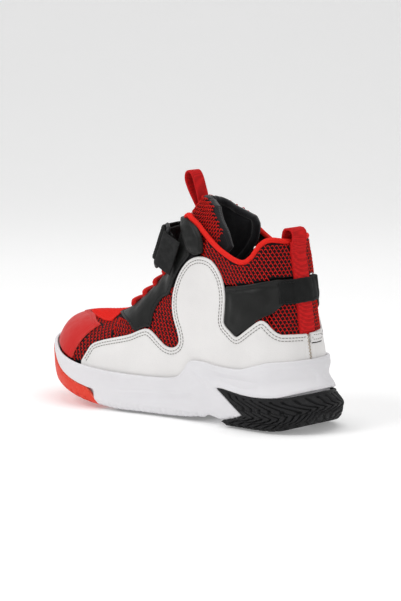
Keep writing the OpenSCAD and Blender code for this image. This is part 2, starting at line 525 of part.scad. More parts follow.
// way across at height z from side s to the other side
function lace_over(z, s) = let (e = eyelet(s, z), f = eyelet(-s, z), n = normal(e), m = normal(f),
        top = ring_pt(0, z + 1.5), tn = normal(top))
    [e - 3 * n, e - 0.8 * n, e + 1.8 * n, e + 3.7 * n + [0, -2.2 * s, 0.6],
        mix(e, top, 0.6) + [-2.2, 0, 3.4], top + 3.2 * tn, mix(f, top, 0.6) + [-2.2, 0, 3.4],
        f + 3.7 * m + [0, 2.2 * s, 0.6], f + 1.8 * m, f - 0.8 * m, f - 3 * m];
function lace_start(s, z) = let (e = eyelet(s, z)) e - 3.3 * normal(e) + [1.5, 3.6 * s, 0.5];
lace_path = spline(concat([lace_start(-1, lace_rows[0])],
    [for (i = [0:len(lace_rows) - 1]) for (p = lace_over(lace_rows[i], i % 2 == 0 ? -1 : 1)) p],
    [lace_start(-1, lace_rows[3])]), 3);
module elastic_lace() {
    t = tangents(lace_path);
    // a frame that turns as little as possible from point to point
    function frames(i, u) = i == len(t) ? [] : let (v = unit(u - (u * t[i]) * t[i])) concat([v],
        frames(i + 1, v));
    u = frames(0, [0, 0, 1]);
    color("red") sweep(lace_path, u, [for (i = [0:len(t) - 1]) cross(t[i], u[i])],
        round_section(lace_d / 2, 6));
}

/* ankle strap: laid out in a leaning plane; y across the shoe, q from the front backwards,
    w up the strap */
strap_up = unit([0.377, 0, 0.926]);
strap_back = [strap_up[2], 0, -strap_up[0]];
strap_mid = [-14, 0, 118.5];
function strap_pt(p, w = 0) = strap_mid + [0, p[0], 0] + p[1] * strap_back + w * strap_up;
module strap_bar(path, w, t, k = 3) {
    q = [for (p = spline(path, k)) strap_pt(p)];
    tg = tangents(q);
    sweep(q, [for (p = q) strap_up], [for (p = tg) unit(cross(p, strap_up))], flat_section(w, t));
}
ring_front = [-22, 4];
ring_rear = [-28, 11.5];
module ankle_strap() {
    color("black") strap_bar([[33, 38], [32.8, 30], [30.5, 21], [26, 12.5], [19, 7.2], [10, 4.8], [0,
        4.2], [-10, 4.8],
        [-18, 6.2], [-21.6, 6.5], [-24, 5.6], [-24.5, 3.6], [-22.9, 1.8]], strap_w, strap_t);
}
module strap_tip() {
    color("black") strap_bar([[-21.4, 1.5], [-14, 0.6], [-6, -0.1], [2, -0.3], [10, 0.1], [16, 1.6],
        [20, 4]],
        strap_w, strap_t);
}
module hook_patch() {
    color("black") strap_bar([[-9, 1.75], [-6, 1.5], [2, 1.3], [10, 1.7], [15, 2.9]], strap_w - 5, 0.9, 2);
}
module loop_patch() {
    color("black") strap_bar([[-10, 3.1], [-5, 2.75], [0, 2.6], [8, 2.9], [14, 3.9]], strap_w - 5, 0.9, 2);
}
module strap_ring() {
    // rounded rectangle of bar: two long bars along the strap's width
    h = strap_w / 2 + 2.4;
    r = 2;
    mid = (ring_front + ring_rear) / 2;
    half = (ring_rear - ring_front) / 2;
    l = norm(half);
    corner = [for (i = [0:3]) let (sx = [1, -1, -1, 1][i], sy = [1, 1, -1, -1][i]) for (j = [0:2])
        [sx * (l - r), sy * (h - r)] + r * [cos(90 * i + 45 * j), sin(90 * i + 45 * j)]];
    pts = [for (c = corner) strap_pt(mid + half / l * c[0], c[1])];
    n = len(pts);
    t = [for (i = [0:n - 1]) unit(pts[(i + 1) % n] - pts[(i + n - 1) % n])];
    out = unit(strap_pt(mid + [-half[1], half[0]]) - strap_pt(mid));
    color("black") closed_sweep(pts, [for (q = t) out], [for (q = t) cross(q, out)],
        round_section(ring_d / 2));
}
// endless bar of constant section
module closed_sweep(path, us, vs, section) {
    n = len(section);
    k = len(path);
    pts = [for (i = [0:k - 1]) for (q = section) path[i] + us[i] * q[0] + vs[i] * q[1]];
    wall = [for (i = [0:k - 1], j = [0:n - 1], h = [0:1])
        let (a = i * n + j, b = i * n + (j + 1) % n, c = ((i + 1) % k) * n + j,
            d = ((i + 1) % k) * n + (j + 1) % n)
        h == 0 ? [a, b, d] : [a, d, c]];
    hand = cross(us[0], vs[0]) * (path[1] - path[0]) > 0;
    polyhedron(points = pts, faces = hand ? [for (f = wall) [f[2], f[1], f[0]]] : wall);
}
module ring_tab() {
    color("black") strap_bar([[-31.7, 27], [-31.3, 21], [-30.7, 15.5], [-30.3, 12], [-29.5, 10], [-28,
        9.3], [-26.4, 10],
        [-25.8, 11.6], [-26.4, 13.4], [-27.6, 16.5]], strap_w, 1.4, 2);
}

midsole();
heel_outsole();
toe_outsole();
forefoot_outsole();
lasting_board();
sockliner();
toe_puff();
heel_counter();
quarter_lining();
vamp_lining();
collar_foam();
vamp_mesh();
quarter_mesh(-1);  // quarter_mesh_near
quarter_mesh(1);  // quarter_mesh_far
collar_knit();
collar_binding();
collar_roll(-1);  // collar_roll_near
collar_roll(1);  // collar_roll_far
toe_cap();
vamp_overlay();
eyestay(-1);  // eyestay_near
eyestay(1);  // eyestay_far
side_panel(-1);  // side_panel_near
side_panel(1);  // side_panel_far
heel_knit();
heel_panel();
ankle_panel(-1);  // ankle_panel_near
ankle_panel(1);  // ankle_panel_far
heel_band();
heel_webbing();
heel_pull_loop();
tongue_base();
tongue_base_lining();
tongue_knit();
tongue_foam();
tongue_lining();
tongue_pull_loop();
elastic_lace();
ankle_strap();
strap_tip();
hook_patch();
loop_patch();
strap_ring();
ring_tab();
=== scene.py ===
"""Basketball high top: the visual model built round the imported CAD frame. Toe towards -X, near side -Y."""
import math

import bpy
import numpy as np
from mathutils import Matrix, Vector
from mathutils.geometry import delaunay_2d_cdt


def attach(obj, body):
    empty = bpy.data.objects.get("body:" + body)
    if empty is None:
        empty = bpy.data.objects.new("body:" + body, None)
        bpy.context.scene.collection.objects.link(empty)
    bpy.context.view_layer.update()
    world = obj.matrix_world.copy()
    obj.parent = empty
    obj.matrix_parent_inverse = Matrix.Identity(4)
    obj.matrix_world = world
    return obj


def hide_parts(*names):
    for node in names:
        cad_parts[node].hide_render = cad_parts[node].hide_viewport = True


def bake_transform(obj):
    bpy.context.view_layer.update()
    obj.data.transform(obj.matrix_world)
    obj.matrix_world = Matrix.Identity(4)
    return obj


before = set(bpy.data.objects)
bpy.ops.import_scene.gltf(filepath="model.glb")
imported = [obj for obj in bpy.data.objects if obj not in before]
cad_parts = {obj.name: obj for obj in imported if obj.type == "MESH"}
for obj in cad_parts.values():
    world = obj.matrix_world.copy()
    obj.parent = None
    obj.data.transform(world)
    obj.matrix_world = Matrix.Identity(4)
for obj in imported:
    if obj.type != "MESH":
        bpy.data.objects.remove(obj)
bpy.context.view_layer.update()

scene = bpy.context.scene
MM = 0.001
NEAR, FAR = -1, 1


# ---------------------------------------------------------------- camera, floor and light
def unit(v):
    v = np.asarray(v, float)
    return v / np.maximum(np.linalg.norm(v, axis=-1, keepdims=True), 1e-9)


def aim(obj, place, at):
    obj.location = place
    obj.rotation_mode = "QUATERNION"
    obj.rotation_quaternion = (Vector(at) - Vector(place)).to_track_quat("-Z", "Y")


def make_camera(azimuth, elevation, distance, target, lens):
    a, e = math.radians(azimuth), math.radians(elevation)
    back = Vector((math.sin(a) * math.cos(e), -math.cos(a) * math.cos(e), math.sin(e)))
    data = bpy.data.cameras.new("camera")
    data.lens = lens
    data.sensor_width = 36
    data.clip_start, data.clip_end = 0.05, 50
    obj = bpy.data.objects.new("camera", data)
    scene.collection.objects.link(obj)
    aim(obj, Vector(target) + back * distance, target)
    scene.camera = obj


def make_light(name, place, at, size, power, colour=(1, 1, 1)):
    data = bpy.data.lights.new(name, "AREA")
    data.shape = "RECTANGLE"
    data.size, data.size_y = size
    data.energy = power
    data.color = colour
    obj = bpy.data.objects.new(name, data)
    scene.collection.objects.link(obj)
    aim(obj, place, at)


VIEW_AZIMUTH = 42
make_camera(VIEW_AZIMUTH, 8.5, 2.0, (0.006, 0, 0.076), 174)
make_light("key", (-0.55, -1.1, 1.15), (0, 0, 0.06), (0.8, 0.8), 9.5)
make_light("fill", (1.5, -0.7, 0.55), (0, 0, 0.07), (1.0, 0.8), 4.0)
make_light("top", (0.1, 0.15, 1.5), (0, 0, 0.05), (1.3, 1.3), 8.5)
world = bpy.data.worlds.new("studio")
world.use_nodes = True
world.node_tree.nodes["Background"].inputs["Color"].default_value = (1, 1, 1, 1)
world.node_tree.nodes["Background"].inputs["Strength"].default_value = 0.42
scene.world = world
scene.view_settings.view_transform = "Standard"


# ---------------------------------------------------------------- the foot form, as in the CAD source
def spline(points, k=24, closed=False):
    """Smooth curve through given points."""
    p = np.array(points, float)
    n = len(p)
    t = np.arange(k)[:, None] / k
    out = []
    for i in range(n if closed else n - 1):
        if closed:
            a, b, c, d = p[i - 1], p[i], p[(i + 1) % n], p[(i + 2) % n]
        else:
            a, b, c, d = p[max(i - 1, 0)], p[i], p[i + 1], p[min(i + 2, n - 1)]
        out.append(0.5 * (2 * b + (c - a) * t + (2 * a - 5 * b + 4 * c - d) * t * t
                          + (3 * b - a - 3 * c + d) * t ** 3))
    return np.vstack(out if closed else out + [p[-1:]])


def curve(points, k=24):
    s = spline(points, k)
    return lambda v: np.interp(v, s[:, 0], s[:, 1])


def running(line):
    """Distance along a polyline up to each of its points."""
    return np.concatenate([[0], np.cumsum(np.linalg.norm(np.diff(line, axis=0), axis=1))])


def at_run(line, run, at):
    """Points at distances along a polyline whose own running distance is run."""
    return np.stack([np.interp(at, run, line[:, k]) for k in range(line.shape[1])], -1)


TOE, FORM_Z0, SOLE_FRONT, SOLE_BACK = -118, 12, -123, 122.5
BED_BACK = 107
SQUARENESS = 2.8
VAMP_FOOT = 31
front_tab = spline([(-118, 30), (-117.5, 38), (-115, 46), (-109, 53.5), (-100, 57.5), (-88, 59.5), (-74, 61),
                    (-58, 64), (-43, 71), (-29, 82), (-15, 96), (-3.5, 111), (2.5, 127), (7, 143), (12, 157)])
back_x = curve([(10, 107), (25, 107.5), (42, 105.5), (60, 102.5), (80, 99.5), (97, 97), (112, 94.5),
                (125, 92), (160, 90)])
near_w = curve([(-118, 34), (-90, 41), (-62, 42.5), (-30, 39), (5, 33.5), (40, 31.5), (75, 32), (107, 32)])
far_w = curve([(-118, 37), (-90, 41), (-62, 41), (-30, 36), (5, 31.5), (40, 30), (75, 31.5), (107, 32)])
bed = curve([(-118, 31), (-105, 26), (-92, 21.5), (-78, 17.5), (-60, 15), (-30, 14), (0, 15), (30, 17.5),
             (70, 20), (110, 21)])
ground_raw = curve([(-123, 29), (-118, 24), (-108, 17.5), (-95, 12), (-80, 7.5), (-65, 4), (-50, 1.5),
                    (-38, .2), (-28, 0), (0, 0), (22, .8), (36, 2.4), (48, 1), (58, 0), (95, 0), (108, 2.5),
                    (116, 6), (121, 10)])
lip = curve([(-123, 43), (-112, 41), (-100, 37.5), (-88, 33.5), (-70, 29.5), (-50, 27.5), (-30, 26.5),
             (4, 26.5), (22, 28.5), (30, 34), (36, 40.5), (48, 41.5), (64, 40), (84, 40), (98, 43.5),
             (107, 46), (121, 47)])
sole_near = curve([(-123, 30), (-114, 36), (-94, 43), (-64, 46.5), (-34, 43), (-4, 38), (26, 35.5), (56, 36),
                   (86, 36), (121, 36)])
sole_far = curve([(-123, 34), (-114, 38), (-94, 43), (-64, 46.5), (-34, 41.5), (-4, 36), (26, 34), (56, 35),
                  (86, 36), (121, 36)])


def ground(x):
    return np.maximum(0, ground_raw(x))


def top_z(x):
    return np.where(x > 12, 157 + (x - 12) * 2.9, np.interp(x, front_tab[:, 0], front_tab[:, 1]))


def front_x(z):
    return np.where(z <= 30, TOE, np.interp(z, front_tab[:, 1], front_tab[:, 0]))


def ease(d, length, p):
    return np.maximum(0, 1 - np.clip(1 - d / length, 0, 1) ** p) ** (1 / p)


def step(v, a, b):
    t = np.clip((v - a) / (b - a), 0, 1)
    return t * t * (3 - 2 * t)


def mix(a, b, t):
    return a + (b - a) * t


def plan_w(x, z, near):
    return np.where(near, near_w(x), far_w(x)) * ease(x - TOE, 46, 2.3) * ease(back_x(z) - x, 36, 2.4)


def half_w(x, z, near):
    rise = np.clip((z - FORM_Z0) / (top_z(x) - FORM_Z0), 0, 1)
    return plan_w(x, z, near) * np.sqrt(1 - rise ** SQUARENESS)


def on_side(x, z, s):
    """Point of the form at x and height z on side s."""
    return np.stack([x, s * half_w(x, z, np.full(x.shape, s < 0)), z], -1)


def outside(p):
    return p[..., 1] ** 2 - half_w(p[..., 0], p[..., 2], p[..., 1] < 0) ** 2


def gradient(p, e=0.35):
    g = np.zeros_like(p)
    for k in range(3):
        d = np.zeros(3)
        d[k] = e
        g[..., k] = (outside(p + d) - outside(p - d)) / (2 * e)
    return g


def normal(p):
    return unit(gradient(np.asarray(p, float)))


def project(p):
    """Point of the form close to p, by a few steps along the gradient."""
    for _ in range(4):
        g = gradient(p)
        p = p - g * (outside(p) / np.maximum((g ** 2).sum(-1), 1e-6))[..., None]
    return p


def ring(a, z):
    """Point of the form: a from -1 (back) by the near side to 0 (front) to 1 (back), at height z."""
    a, z = np.broadcast_arrays(np.asarray(a, float), np.asarray(z, float))
    a = np.where(a < -1, a + 2, a)
    f = front_x(z)
    x = f + (back_x(z) - f) * (1 - np.cos(np.pi * np.abs(a))) / 2
    return np.stack([x, np.where(a < 0, -1, 1) * half_w(x, z, a < 0), z], -1)


def ring_u_at(x, z):
    """Ring position, 0 (front) to 1 (back), of the form's point at x and height z."""
    f = front_x(z)
    return np.arccos(np.clip(1 - 2 * (x - f) / (back_x(z) - f), -1, 1)) / np.pi


def dome(x, f):
    """Point of the toe's dome: x, and f in degrees from 0 (near edge) over 90 (top) to 180 (far edge)."""
    x, f = np.broadcast_arrays(np.asarray(x, float), np.radians(np.asarray(f, float)))
    near = np.cos(f) > 0
    return np.stack([x, -np.cos(f) * plan_w(x, 20.0, near),
                     FORM_Z0 + (top_z(x) - FORM_Z0) * np.maximum(np.sin(f), 0) ** (2 / SQUARENESS)], -1)


def bilinear(table, i, j):
    i = np.clip(i, 0, table.shape[0] - 1.001)
    j = np.clip(j, 0, table.shape[1] - 1.001)
    i0, j0 = i.astype(int), j.astype(int)
    u, v = i - i0, j - j0
    return ((table[i0, j0] * (1 - u) + table[i0 + 1, j0] * u) * (1 - v)
            + (table[i0, j0 + 1] * (1 - u) + table[i0 + 1, j0 + 1] * u) * v)


class Unrolled:
    """Flat chart of one side of the form: arc from the middle of the back (negative) and height z."""
    Z0, N = 12.0, 700

    def __init__(self, side):
        self.side = side
        zs = np.arange(self.Z0, 160.5, 1.0)
        us = np.linspace(0, 1, self.N + 1)
        p = ring(side * np.maximum(us, 1e-7)[None, :], zs[:, None])
        length = np.linalg.norm(np.diff(p, axis=1), axis=-1)
        self.arc = np.concatenate([np.zeros((len(zs), 1)), np.cumsum(length, 1)], 1)
        self.total = self.arc[:, -1]
        self.back = np.array([np.interp(us * t, row, us) for t, row in zip(self.total, self.arc)])

    def whole(self, z):
        return np.interp(z, np.arange(len(self.total)) + self.Z0, self.total)

    def flat(self, p):
        """Chart point of a point on the form."""
        x, z = p[..., 0], p[..., 2]
        return np.stack([bilinear(self.arc, z - self.Z0, ring_u_at(x, z) * self.N) - self.whole(z), z], -1)

    def solid(self, q):
        """Point on the form of a chart point."""
        s, z = q[..., 0], q[..., 1]
        u = bilinear(self.back, z - self.Z0, (1 + s / self.whole(z)) * self.N)
        return ring(self.side * np.maximum(u, 1e-7), z)


unrolled = {NEAR: Unrolled(NEAR), FAR: Unrolled(FAR)}


def heel_chart(b, z):
    """Point at arc b from the middle of the back (near side negative) and height z."""
    near, far = unrolled[NEAR], unrolled[FAR]
    b, z = np.broadcast_arrays(np.asarray(b, float), np.asarray(z, float))
    pn = near.solid(np.stack([-np.abs(b), z], -1))
    pf = far.solid(np.stack([-np.abs(b), z], -1))
    return np.where((b < 0)[..., None], pn, pf)


# ---------------------------------------------------------------- materials
class Graph:
    """Node material whose pattern follows the piece's own rest position, in millimetres."""

    def __init__(self, name, colour, rough, plain=False, **shader):
        self.material = bpy.data.materials.new(name)
        self.material.use_nodes = True
        self.tree = self.material.node_tree
        self.shader = self.tree.nodes["Principled BSDF"]
        self.shader.inputs["Base Color"].default_value = (*colour, 1)
        self.shader.inputs["Roughness"].default_value = rough
        for key, value in shader.items():
            self.shader.inputs[key.replace("_", " ")].default_value = value
        if plain:
            place = self.add("ShaderNodeTexCoord").outputs["Object"]
            self.rest = self.add("ShaderNodeVectorMath", {0: place, 1: (1000, 1000, 1000)},
                                 operation="MULTIPLY").outputs["Vector"]
        else:
            self.rest = self.add("ShaderNodeAttribute", attribute_name="rest").outputs["Vector"]
        self.material.diffuse_color = (*colour, 1)

    def add(self, kind, inputs=None, **props):
        node = self.tree.nodes.new(kind)
        for key, value in props.items():
            setattr(node, key, value)
        for key, value in (inputs or {}).items():
            if isinstance(value, bpy.types.NodeSocket):
                self.tree.links.new(value, node.inputs[key])
            else:
                node.inputs[key].default_value = value
        return node

    def math(self, operation, a, b=0.0):
        return self.add("ShaderNodeMath", {0: a, 1: b}, operation=operation).outputs[0]

    def noise(self, size, detail, rough=0.55):
        return self.add("ShaderNodeTexNoise", {"Vector": self.rest, "Scale": 1 / size, "Detail": detail,
                                               "Roughness": rough}).outputs["Fac"]

    def cells(self, size, feature="F1"):
        return self.add("ShaderNodeTexVoronoi", {"Vector": self.rest, "Scale": 1 / size},
                        feature=feature).outputs["Distance"]

    def stretched(self, x, y, z, turn=(0, 0, 0)):
        return self.add("ShaderNodeMapping", {"Vector": self.rest, "Scale": (x, y, z),
                                              "Rotation": turn}).outputs["Vector"]

    def ramp(self, value, lo, hi, out_lo, out_hi):
        return self.add("ShaderNodeMapRange",
                        {"Value": value, "From Min": lo, "From Max": hi, "To Min": out_lo,
                                               "To Max": out_hi}).outputs["Result"]

    def blend(self, factor, a, b):
        node = self.add("ShaderNodeMix", data_type="RGBA")
        for key, value in (("A", a), ("B", b)):
            socket = next(s for s in node.inputs if s.name == key and s.type == "RGBA")
            if isinstance(value, bpy.types.NodeSocket):
                self.tree.links.new(value, socket)
            else:
                socket.default_value = (*value, 1)
        self.tree.links.new(factor, node.inputs["Factor"])
        return next(s for s in node.outputs if s.type == "RGBA")

    def colour(self, socket):
        self.tree.links.new(socket, self.shader.inputs["Base Color"])

    def rough(self, socket):
        self.tree.links.new(socket, self.shader.inputs["Roughness"])

    def bump(self, height, depth):
        """Depth is in millimetres; bumps chain."""
        inputs = {"Height": height, "Distance": depth * MM, "Strength": 1.0}
        if hasattr(self, "last"):
            inputs["Normal"] = self.last
        self.last = self.add("ShaderNodeBump", inputs).outputs["Normal"]
        self.tree.links.new(self.last, self.shader.inputs["Normal"])
        return self

    def edge(self):
        return self.add("ShaderNodeAttribute", attribute_name="edge").outputs["Fac"]


def leather(name, colour, worn, rough, grain=0.8, depth=0.05, **shader):
    """Coated leather: fine cells, a slow waviness, cloudy colour and worn, lighter cut edges."""
    g = Graph(name, colour, rough, **shader)
    cloud = g.noise(38, 3)
    deep = tuple(0.94 * c for c in colour)
    body = g.blend(g.ramp(cloud, 0.35, 0.65, 0.0, 1.0), colour, deep)
    pores = g.cells(grain)
    body = g.blend(g.ramp(pores, 0.0, 0.35, 0.25, 0.0), body, tuple(0.6 * c for c in colour))
    scuff = g.math("MULTIPLY", g.ramp(g.edge(), 0.1, 1.0, 1.0, 0.0),
                   g.ramp(g.noise(3, 3), 0.4, 0.7, 0.2, 1.0))
    g.colour(g.blend(scuff, body, worn))
    g.rough(g.ramp(g.noise(6, 5), 0.3, 0.7, rough - 0.07, rough + 0.1))
    g.bump(g.noise(14, 2), 0.35).bump(g.cells(grain, "SMOOTH_F1"), depth).bump(g.noise(0.3, 2), depth * 0.4)
    return g.material


def foam(name, colour, rough):
    g = Graph(name, colour, rough)
    body = g.blend(g.ramp(g.noise(30, 4), 0.3, 0.7, 0.0, 1.0), colour, tuple(0.95 * c for c in colour))
    dust = g.ramp(g.noise(2.2, 6, rough=0.7), 0.62, 0.8, 0.0, 0.25)
    g.colour(g.blend(dust, body, (0.55, 0.53, 0.52)))
    g.rough(g.ramp(g.noise(5, 4), 0.3, 0.7, rough - 0.05, rough + 0.12))
    g.bump(g.noise(18, 2), 0.3).bump(g.noise(0.7, 4), 0.04)
    return g.material


def backdrop(name, colour, glow):
    """Smooth pale studio surface that gives off a little light, so that it stays even."""
    g = Graph(name, colour, 0.9, Specular_IOR_Level=0.1, Emission_Color=(1, 1, 1, 1), Emission_Strength=glow)
    g.colour(g.blend(g.noise(60, 2), colour, tuple(0.985 * c for c in colour)))
    return g.material


def rubber(name, colour, dusty, rough):
    g = Graph(name, colour, rough, Specular_IOR_Level=0.22)
    dust = g.ramp(g.noise(1.6, 6, rough=0.7), 0.5, 0.8, 0.0, 0.35)
    body = g.blend(dust, colour, dusty)
    scuff = g.math("MULTIPLY", g.ramp(g.edge(), 0.0, 0.9, 0.8, 0.0),
                   g.ramp(g.noise(2, 3), 0.4, 0.7, 0.0, 1.0))
    g.colour(g.blend(scuff, body, dusty))
    g.rough(g.ramp(g.noise(3, 4), 0.3, 0.7, rough - 0.1, rough + 0.1))
    g.bump(g.noise(0.35, 3), 0.05).bump(g.noise(5, 2), 0.15)
    return g.material


def weave(name, colour, deep, pitch, rough=0.85, sheen=0.2, turn=(0, 0, 0), depth=0.12, plain=False):
    """Close cloth: two families of threads, which show as a fine basket of bumps."""
    g = Graph(name, colour, rough, plain=plain, Sheen_Weight=sheen, Specular_IOR_Level=0.2)
    vector = g.stretched(1, 1, 1, turn)
    heights = []
    for axis in ("X", "Z"):
        wave = g.add("ShaderNodeTexWave", {"Vector": vector, "Scale": 1 / pitch / 3.18, "Distortion": 0.6,
                                           "Detail": 2.0, "Detail Scale": 2.0}, bands_direction=axis)
        heights.append(wave.outputs["Fac"])
    height = g.math("MAXIMUM", heights[0], heights[1])
    # Painted shade: the low parts of the weave take the darker deep colour, the crests the full colour.
    body = g.blend(g.ramp(height, 0.2, 0.9, 0.0, 1.0), deep, colour)
    fuzz = g.ramp(g.noise(0.25, 3), 0.55, 0.8, 0.0, 0.3)
    g.colour(g.blend(fuzz, body, tuple(min(1.0, 1.7 * c + 0.01) for c in colour)))
    g.bump(height, depth).bump(g.noise(0.2, 3), 0.05).bump(g.noise(12, 2), 0.4)
    return g.material


def yarn(name, colour, deep, rough=0.75):
    """Twisted plies: fine slanted threads with a little fuzz."""
    g = Graph(name, colour, rough, Specular_IOR_Level=0.2)
    plies = g.add("ShaderNodeTexWave", {"Vector": g.rest, "Scale": 0.9, "Distortion": 2.5, "Detail": 2.0,
                                        "Detail Scale": 1.5}, bands_direction="DIAGONAL").outputs["Fac"]
    # Painted shade: the grooves between the plies take the darker deep colour.
    body = g.blend(g.ramp(plies, 0.1, 0.6, 0.0, 1.0), deep, colour)
    g.colour(g.blend(g.ramp(g.noise(9, 3), 0.35, 0.7, 0.0, 0.35), body, deep))
    g.bump(plies, 0.1).bump(g.noise(0.15, 2), 0.05)
    return g.material


M = {
    "white_leather": leather("white_leather", (0.80, 0.785, 0.775), (0.62, 0.60, 0.58), 0.45, 0.7, 0.03),
    "black_leather": leather("black_leather", (0.010, 0.0105, 0.010), (0.024, 0.024, 0.023), 0.42, 0.9, 0.05,
                             Specular_IOR_Level=0.22),
    "red_leather": leather("red_leather", (0.60, 0.010, 0.008), (0.72, 0.06, 0.045), 0.42, 0.7, 0.03,
                           Specular_IOR_Level=0.35),
    "strap_cloth": leather("strap_cloth", (0.007, 0.0075, 0.0075), (0.02, 0.02, 0.02), 0.66, 0.55, 0.05,
                           Specular_IOR_Level=0.18),
    "white_foam": foam("white_foam", (0.76, 0.75, 0.77), 0.5),
    "black_rubber": rubber("black_rubber", (0.011, 0.011, 0.012), (0.045, 0.043, 0.042), 0.6),
    "red_rubber": rubber("red_rubber", (0.74, 0.045, 0.022), (0.80, 0.22, 0.14), 0.5),
    "knit_ground": weave("knit_ground", (0.010, 0.009, 0.011), (0.002, 0.002, 0.003), 0.55, 0.95, 0.05),
    "lining": weave("lining", (0.009, 0.009, 0.011), (0.002, 0.002, 0.003), 0.9, 0.92, 0.25),
    "board": weave("board", (0.30, 0.24, 0.17), (0.2, 0.16, 0.11), 1.2, 0.9, 0.0, plain=True),
    "stiffener": weave("stiffener", (0.55, 0.50, 0.40), (0.42, 0.37, 0.29), 0.9, 0.8, 0.0, plain=True),
    "red_yarn": yarn("red_yarn", (0.86, 0.018, 0.010), (0.46, 0.006, 0.004)),
    "red_binding": weave("red_binding", (0.88, 0.020, 0.012), (0.55, 0.008, 0.005), 0.5, 0.8, 0.0,
                         (0.3, 0.5, 0.2), 0.1),
    "red_webbing": weave("red_webbing", (0.62, 0.009, 0.010), (0.34, 0.003, 0.004), 0.45, 0.8, 0.0,
                         (0.1, 0.3, 0), 0.1),
    "red_lace": weave("red_lace", (0.76, 0.014, 0.010), (0.42, 0.006, 0.005), 0.5, 0.75, 0.0, (0.6, 0.4, 0.2),
                      0.12),
    "grey_thread": yarn("grey_thread", (0.36, 0.34, 0.32), (0.2, 0.19, 0.18)),
    "beige_thread": yarn("beige_thread", (0.62, 0.52, 0.40), (0.4, 0.33, 0.25)),
    "black_thread": yarn("black_thread", (0.03, 0.03, 0.03), (0.01, 0.01, 0.01)),
    "plastic": rubber("plastic", (0.02, 0.02, 0.021), (0.06, 0.06, 0.06), 0.35),
    "hooks": weave("hooks", (0.03, 0.03, 0.032), (0.008, 0.008, 0.008), 0.7, 0.8, 0.4, (0, 0, 0), 0.3),
    "floor": backdrop("floor", (0.88, 0.88, 0.88), 0.22),
}


# ---------------------------------------------------------------- mesh helpers
NO_EDGE = 9.0


def make(name, verts, faces, material, body="shoe", replaces=(), edge=None, index=None, turn=False):
    """Mesh from points in millimetres. faces is a list of arrays of triangles or quads."""
    verts = np.asarray(verts, float)
    faces = [np.asarray(f, int) for f in faces if len(f)]
    loops = np.concatenate([f.ravel() for f in faces])
    sizes = np.concatenate([np.full(len(f), f.shape[1]) for f in faces])
    mesh = bpy.data.meshes.new(name)
    mesh.vertices.add(len(verts))
    mesh.vertices.foreach_set("co", (verts * MM).ravel())
    mesh.loops.add(len(loops))
    mesh.loops.foreach_set("vertex_index", loops)
    mesh.polygons.add(len(sizes))
    mesh.polygons.foreach_set("loop_start", np.concatenate([[0], np.cumsum(sizes)[:-1]]))
    rest = mesh.attributes.new("rest", "FLOAT_VECTOR", "POINT")
    rest.data.foreach_set("vector", verts.ravel())
    far = mesh.attributes.new("edge", "FLOAT", "POINT")
    inner = np.full(len(verts), NO_EDGE) if edge is None else np.asarray(edge, float).ravel()
    far.data.foreach_set("value", inner)
    materials = [material] if isinstance(material, str) else list(material)
    for m in materials:
        mesh.materials.append(M[m])
    if index is not None:
        mesh.polygons.foreach_set("material_index", np.asarray(index, int))
    mesh.polygons.foreach_set("use_smooth", np.full(len(sizes), True))
    mesh.update(calc_edges=True)
    mesh.validate()
    if turn:
        mesh.flip_normals()
    obj = bpy.data.objects.new(name, mesh)
    scene.collection.objects.link(obj)
    if body:
        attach(obj, body)
    if replaces:
        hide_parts(*replaces)
    return obj


def volume(verts, faces):
    """Signed volume, to see which way round the faces go."""
    total = 0.0
    for f in faces:
        a = verts[f[:, 0]]
        for k in range(1, f.shape[1] - 1):
            total += (a * np.cross(verts[f[:, k]], verts[f[:, k + 1]])).sum()
    return total


def grid_faces(rows, cols, wrap=False):
    c = cols if wrap else cols - 1
    i, j = np.meshgrid(np.arange(rows - 1), np.arange(c), indexing="ij")
    a, b = i * cols + j, i * cols + (j + 1) % cols
    return np.stack([a, b, b + cols, a + cols], -1).reshape(-1, 4)


def shell(name, top, bottom, material, edge=None, **kw):
    """Closed solid between two grids of points of equal size."""
    rows, cols = top.shape[:2]
    n = rows * cols
    border = np.concatenate([np.arange(cols), np.arange(1, rows) * cols + cols - 1,
                             (rows - 1) * cols + np.arange(cols - 2, -1, -1),
                             np.arange(rows - 2, 0, -1) * cols])
    nxt = np.roll(border, -1)
    f = grid_faces(rows, cols)
    faces = [f, f[:, ::-1] + n, np.stack([nxt, border, border + n, nxt + n], -1)]
    verts = np.concatenate([top.reshape(-1, 3), bottom.reshape(-1, 3)])
    both = None if edge is None else np.concatenate([edge.ravel(), np.zeros(n)])
    return make(name, verts, faces, material, edge=both, turn=volume(verts, faces) < 0, **kw)


def lengths(p, axis):
    """Distance along the grid's rows or columns, from both ends."""
    d = np.linalg.norm(np.diff(p, axis=axis), axis=-1)
    zero = np.zeros_like(np.take(d, [0], axis))
    run = np.concatenate([zero, np.cumsum(d, axis)], axis)
    return run, np.take(run, [-1], axis) - run


def borders(p):
    """Distances to a grid's left, right, lower and upper border, and to the nearest of them."""
    left, right = lengths(p, 1)
    down, up = lengths(p, 0)
    return left, right, down, up, np.minimum(np.minimum(left, right), np.minimum(down, up))


def bead(d, r):
    """0 at the edge, 1 from r inwards, with a quarter circle between."""
    return np.sqrt(np.maximum(0, 1 - (1 - np.clip(d / r, 0, 1)) ** 2))


def spread(n, length, r=0.9):
    """0..1 in n steps, with extra ones near both ends."""
    near = np.array([0, 0.06, 0.2, 0.45, 0.75, 1.0]) * r / length
    inner = np.linspace(near[-1], 1 - near[-1], max(n, 2))
    return np.concatenate([near[:-1], inner, 1 - near[:-1][::-1]])


def groove(d, at, width, depth):
    return -depth * np.exp(-((d - at) / width) ** 2)


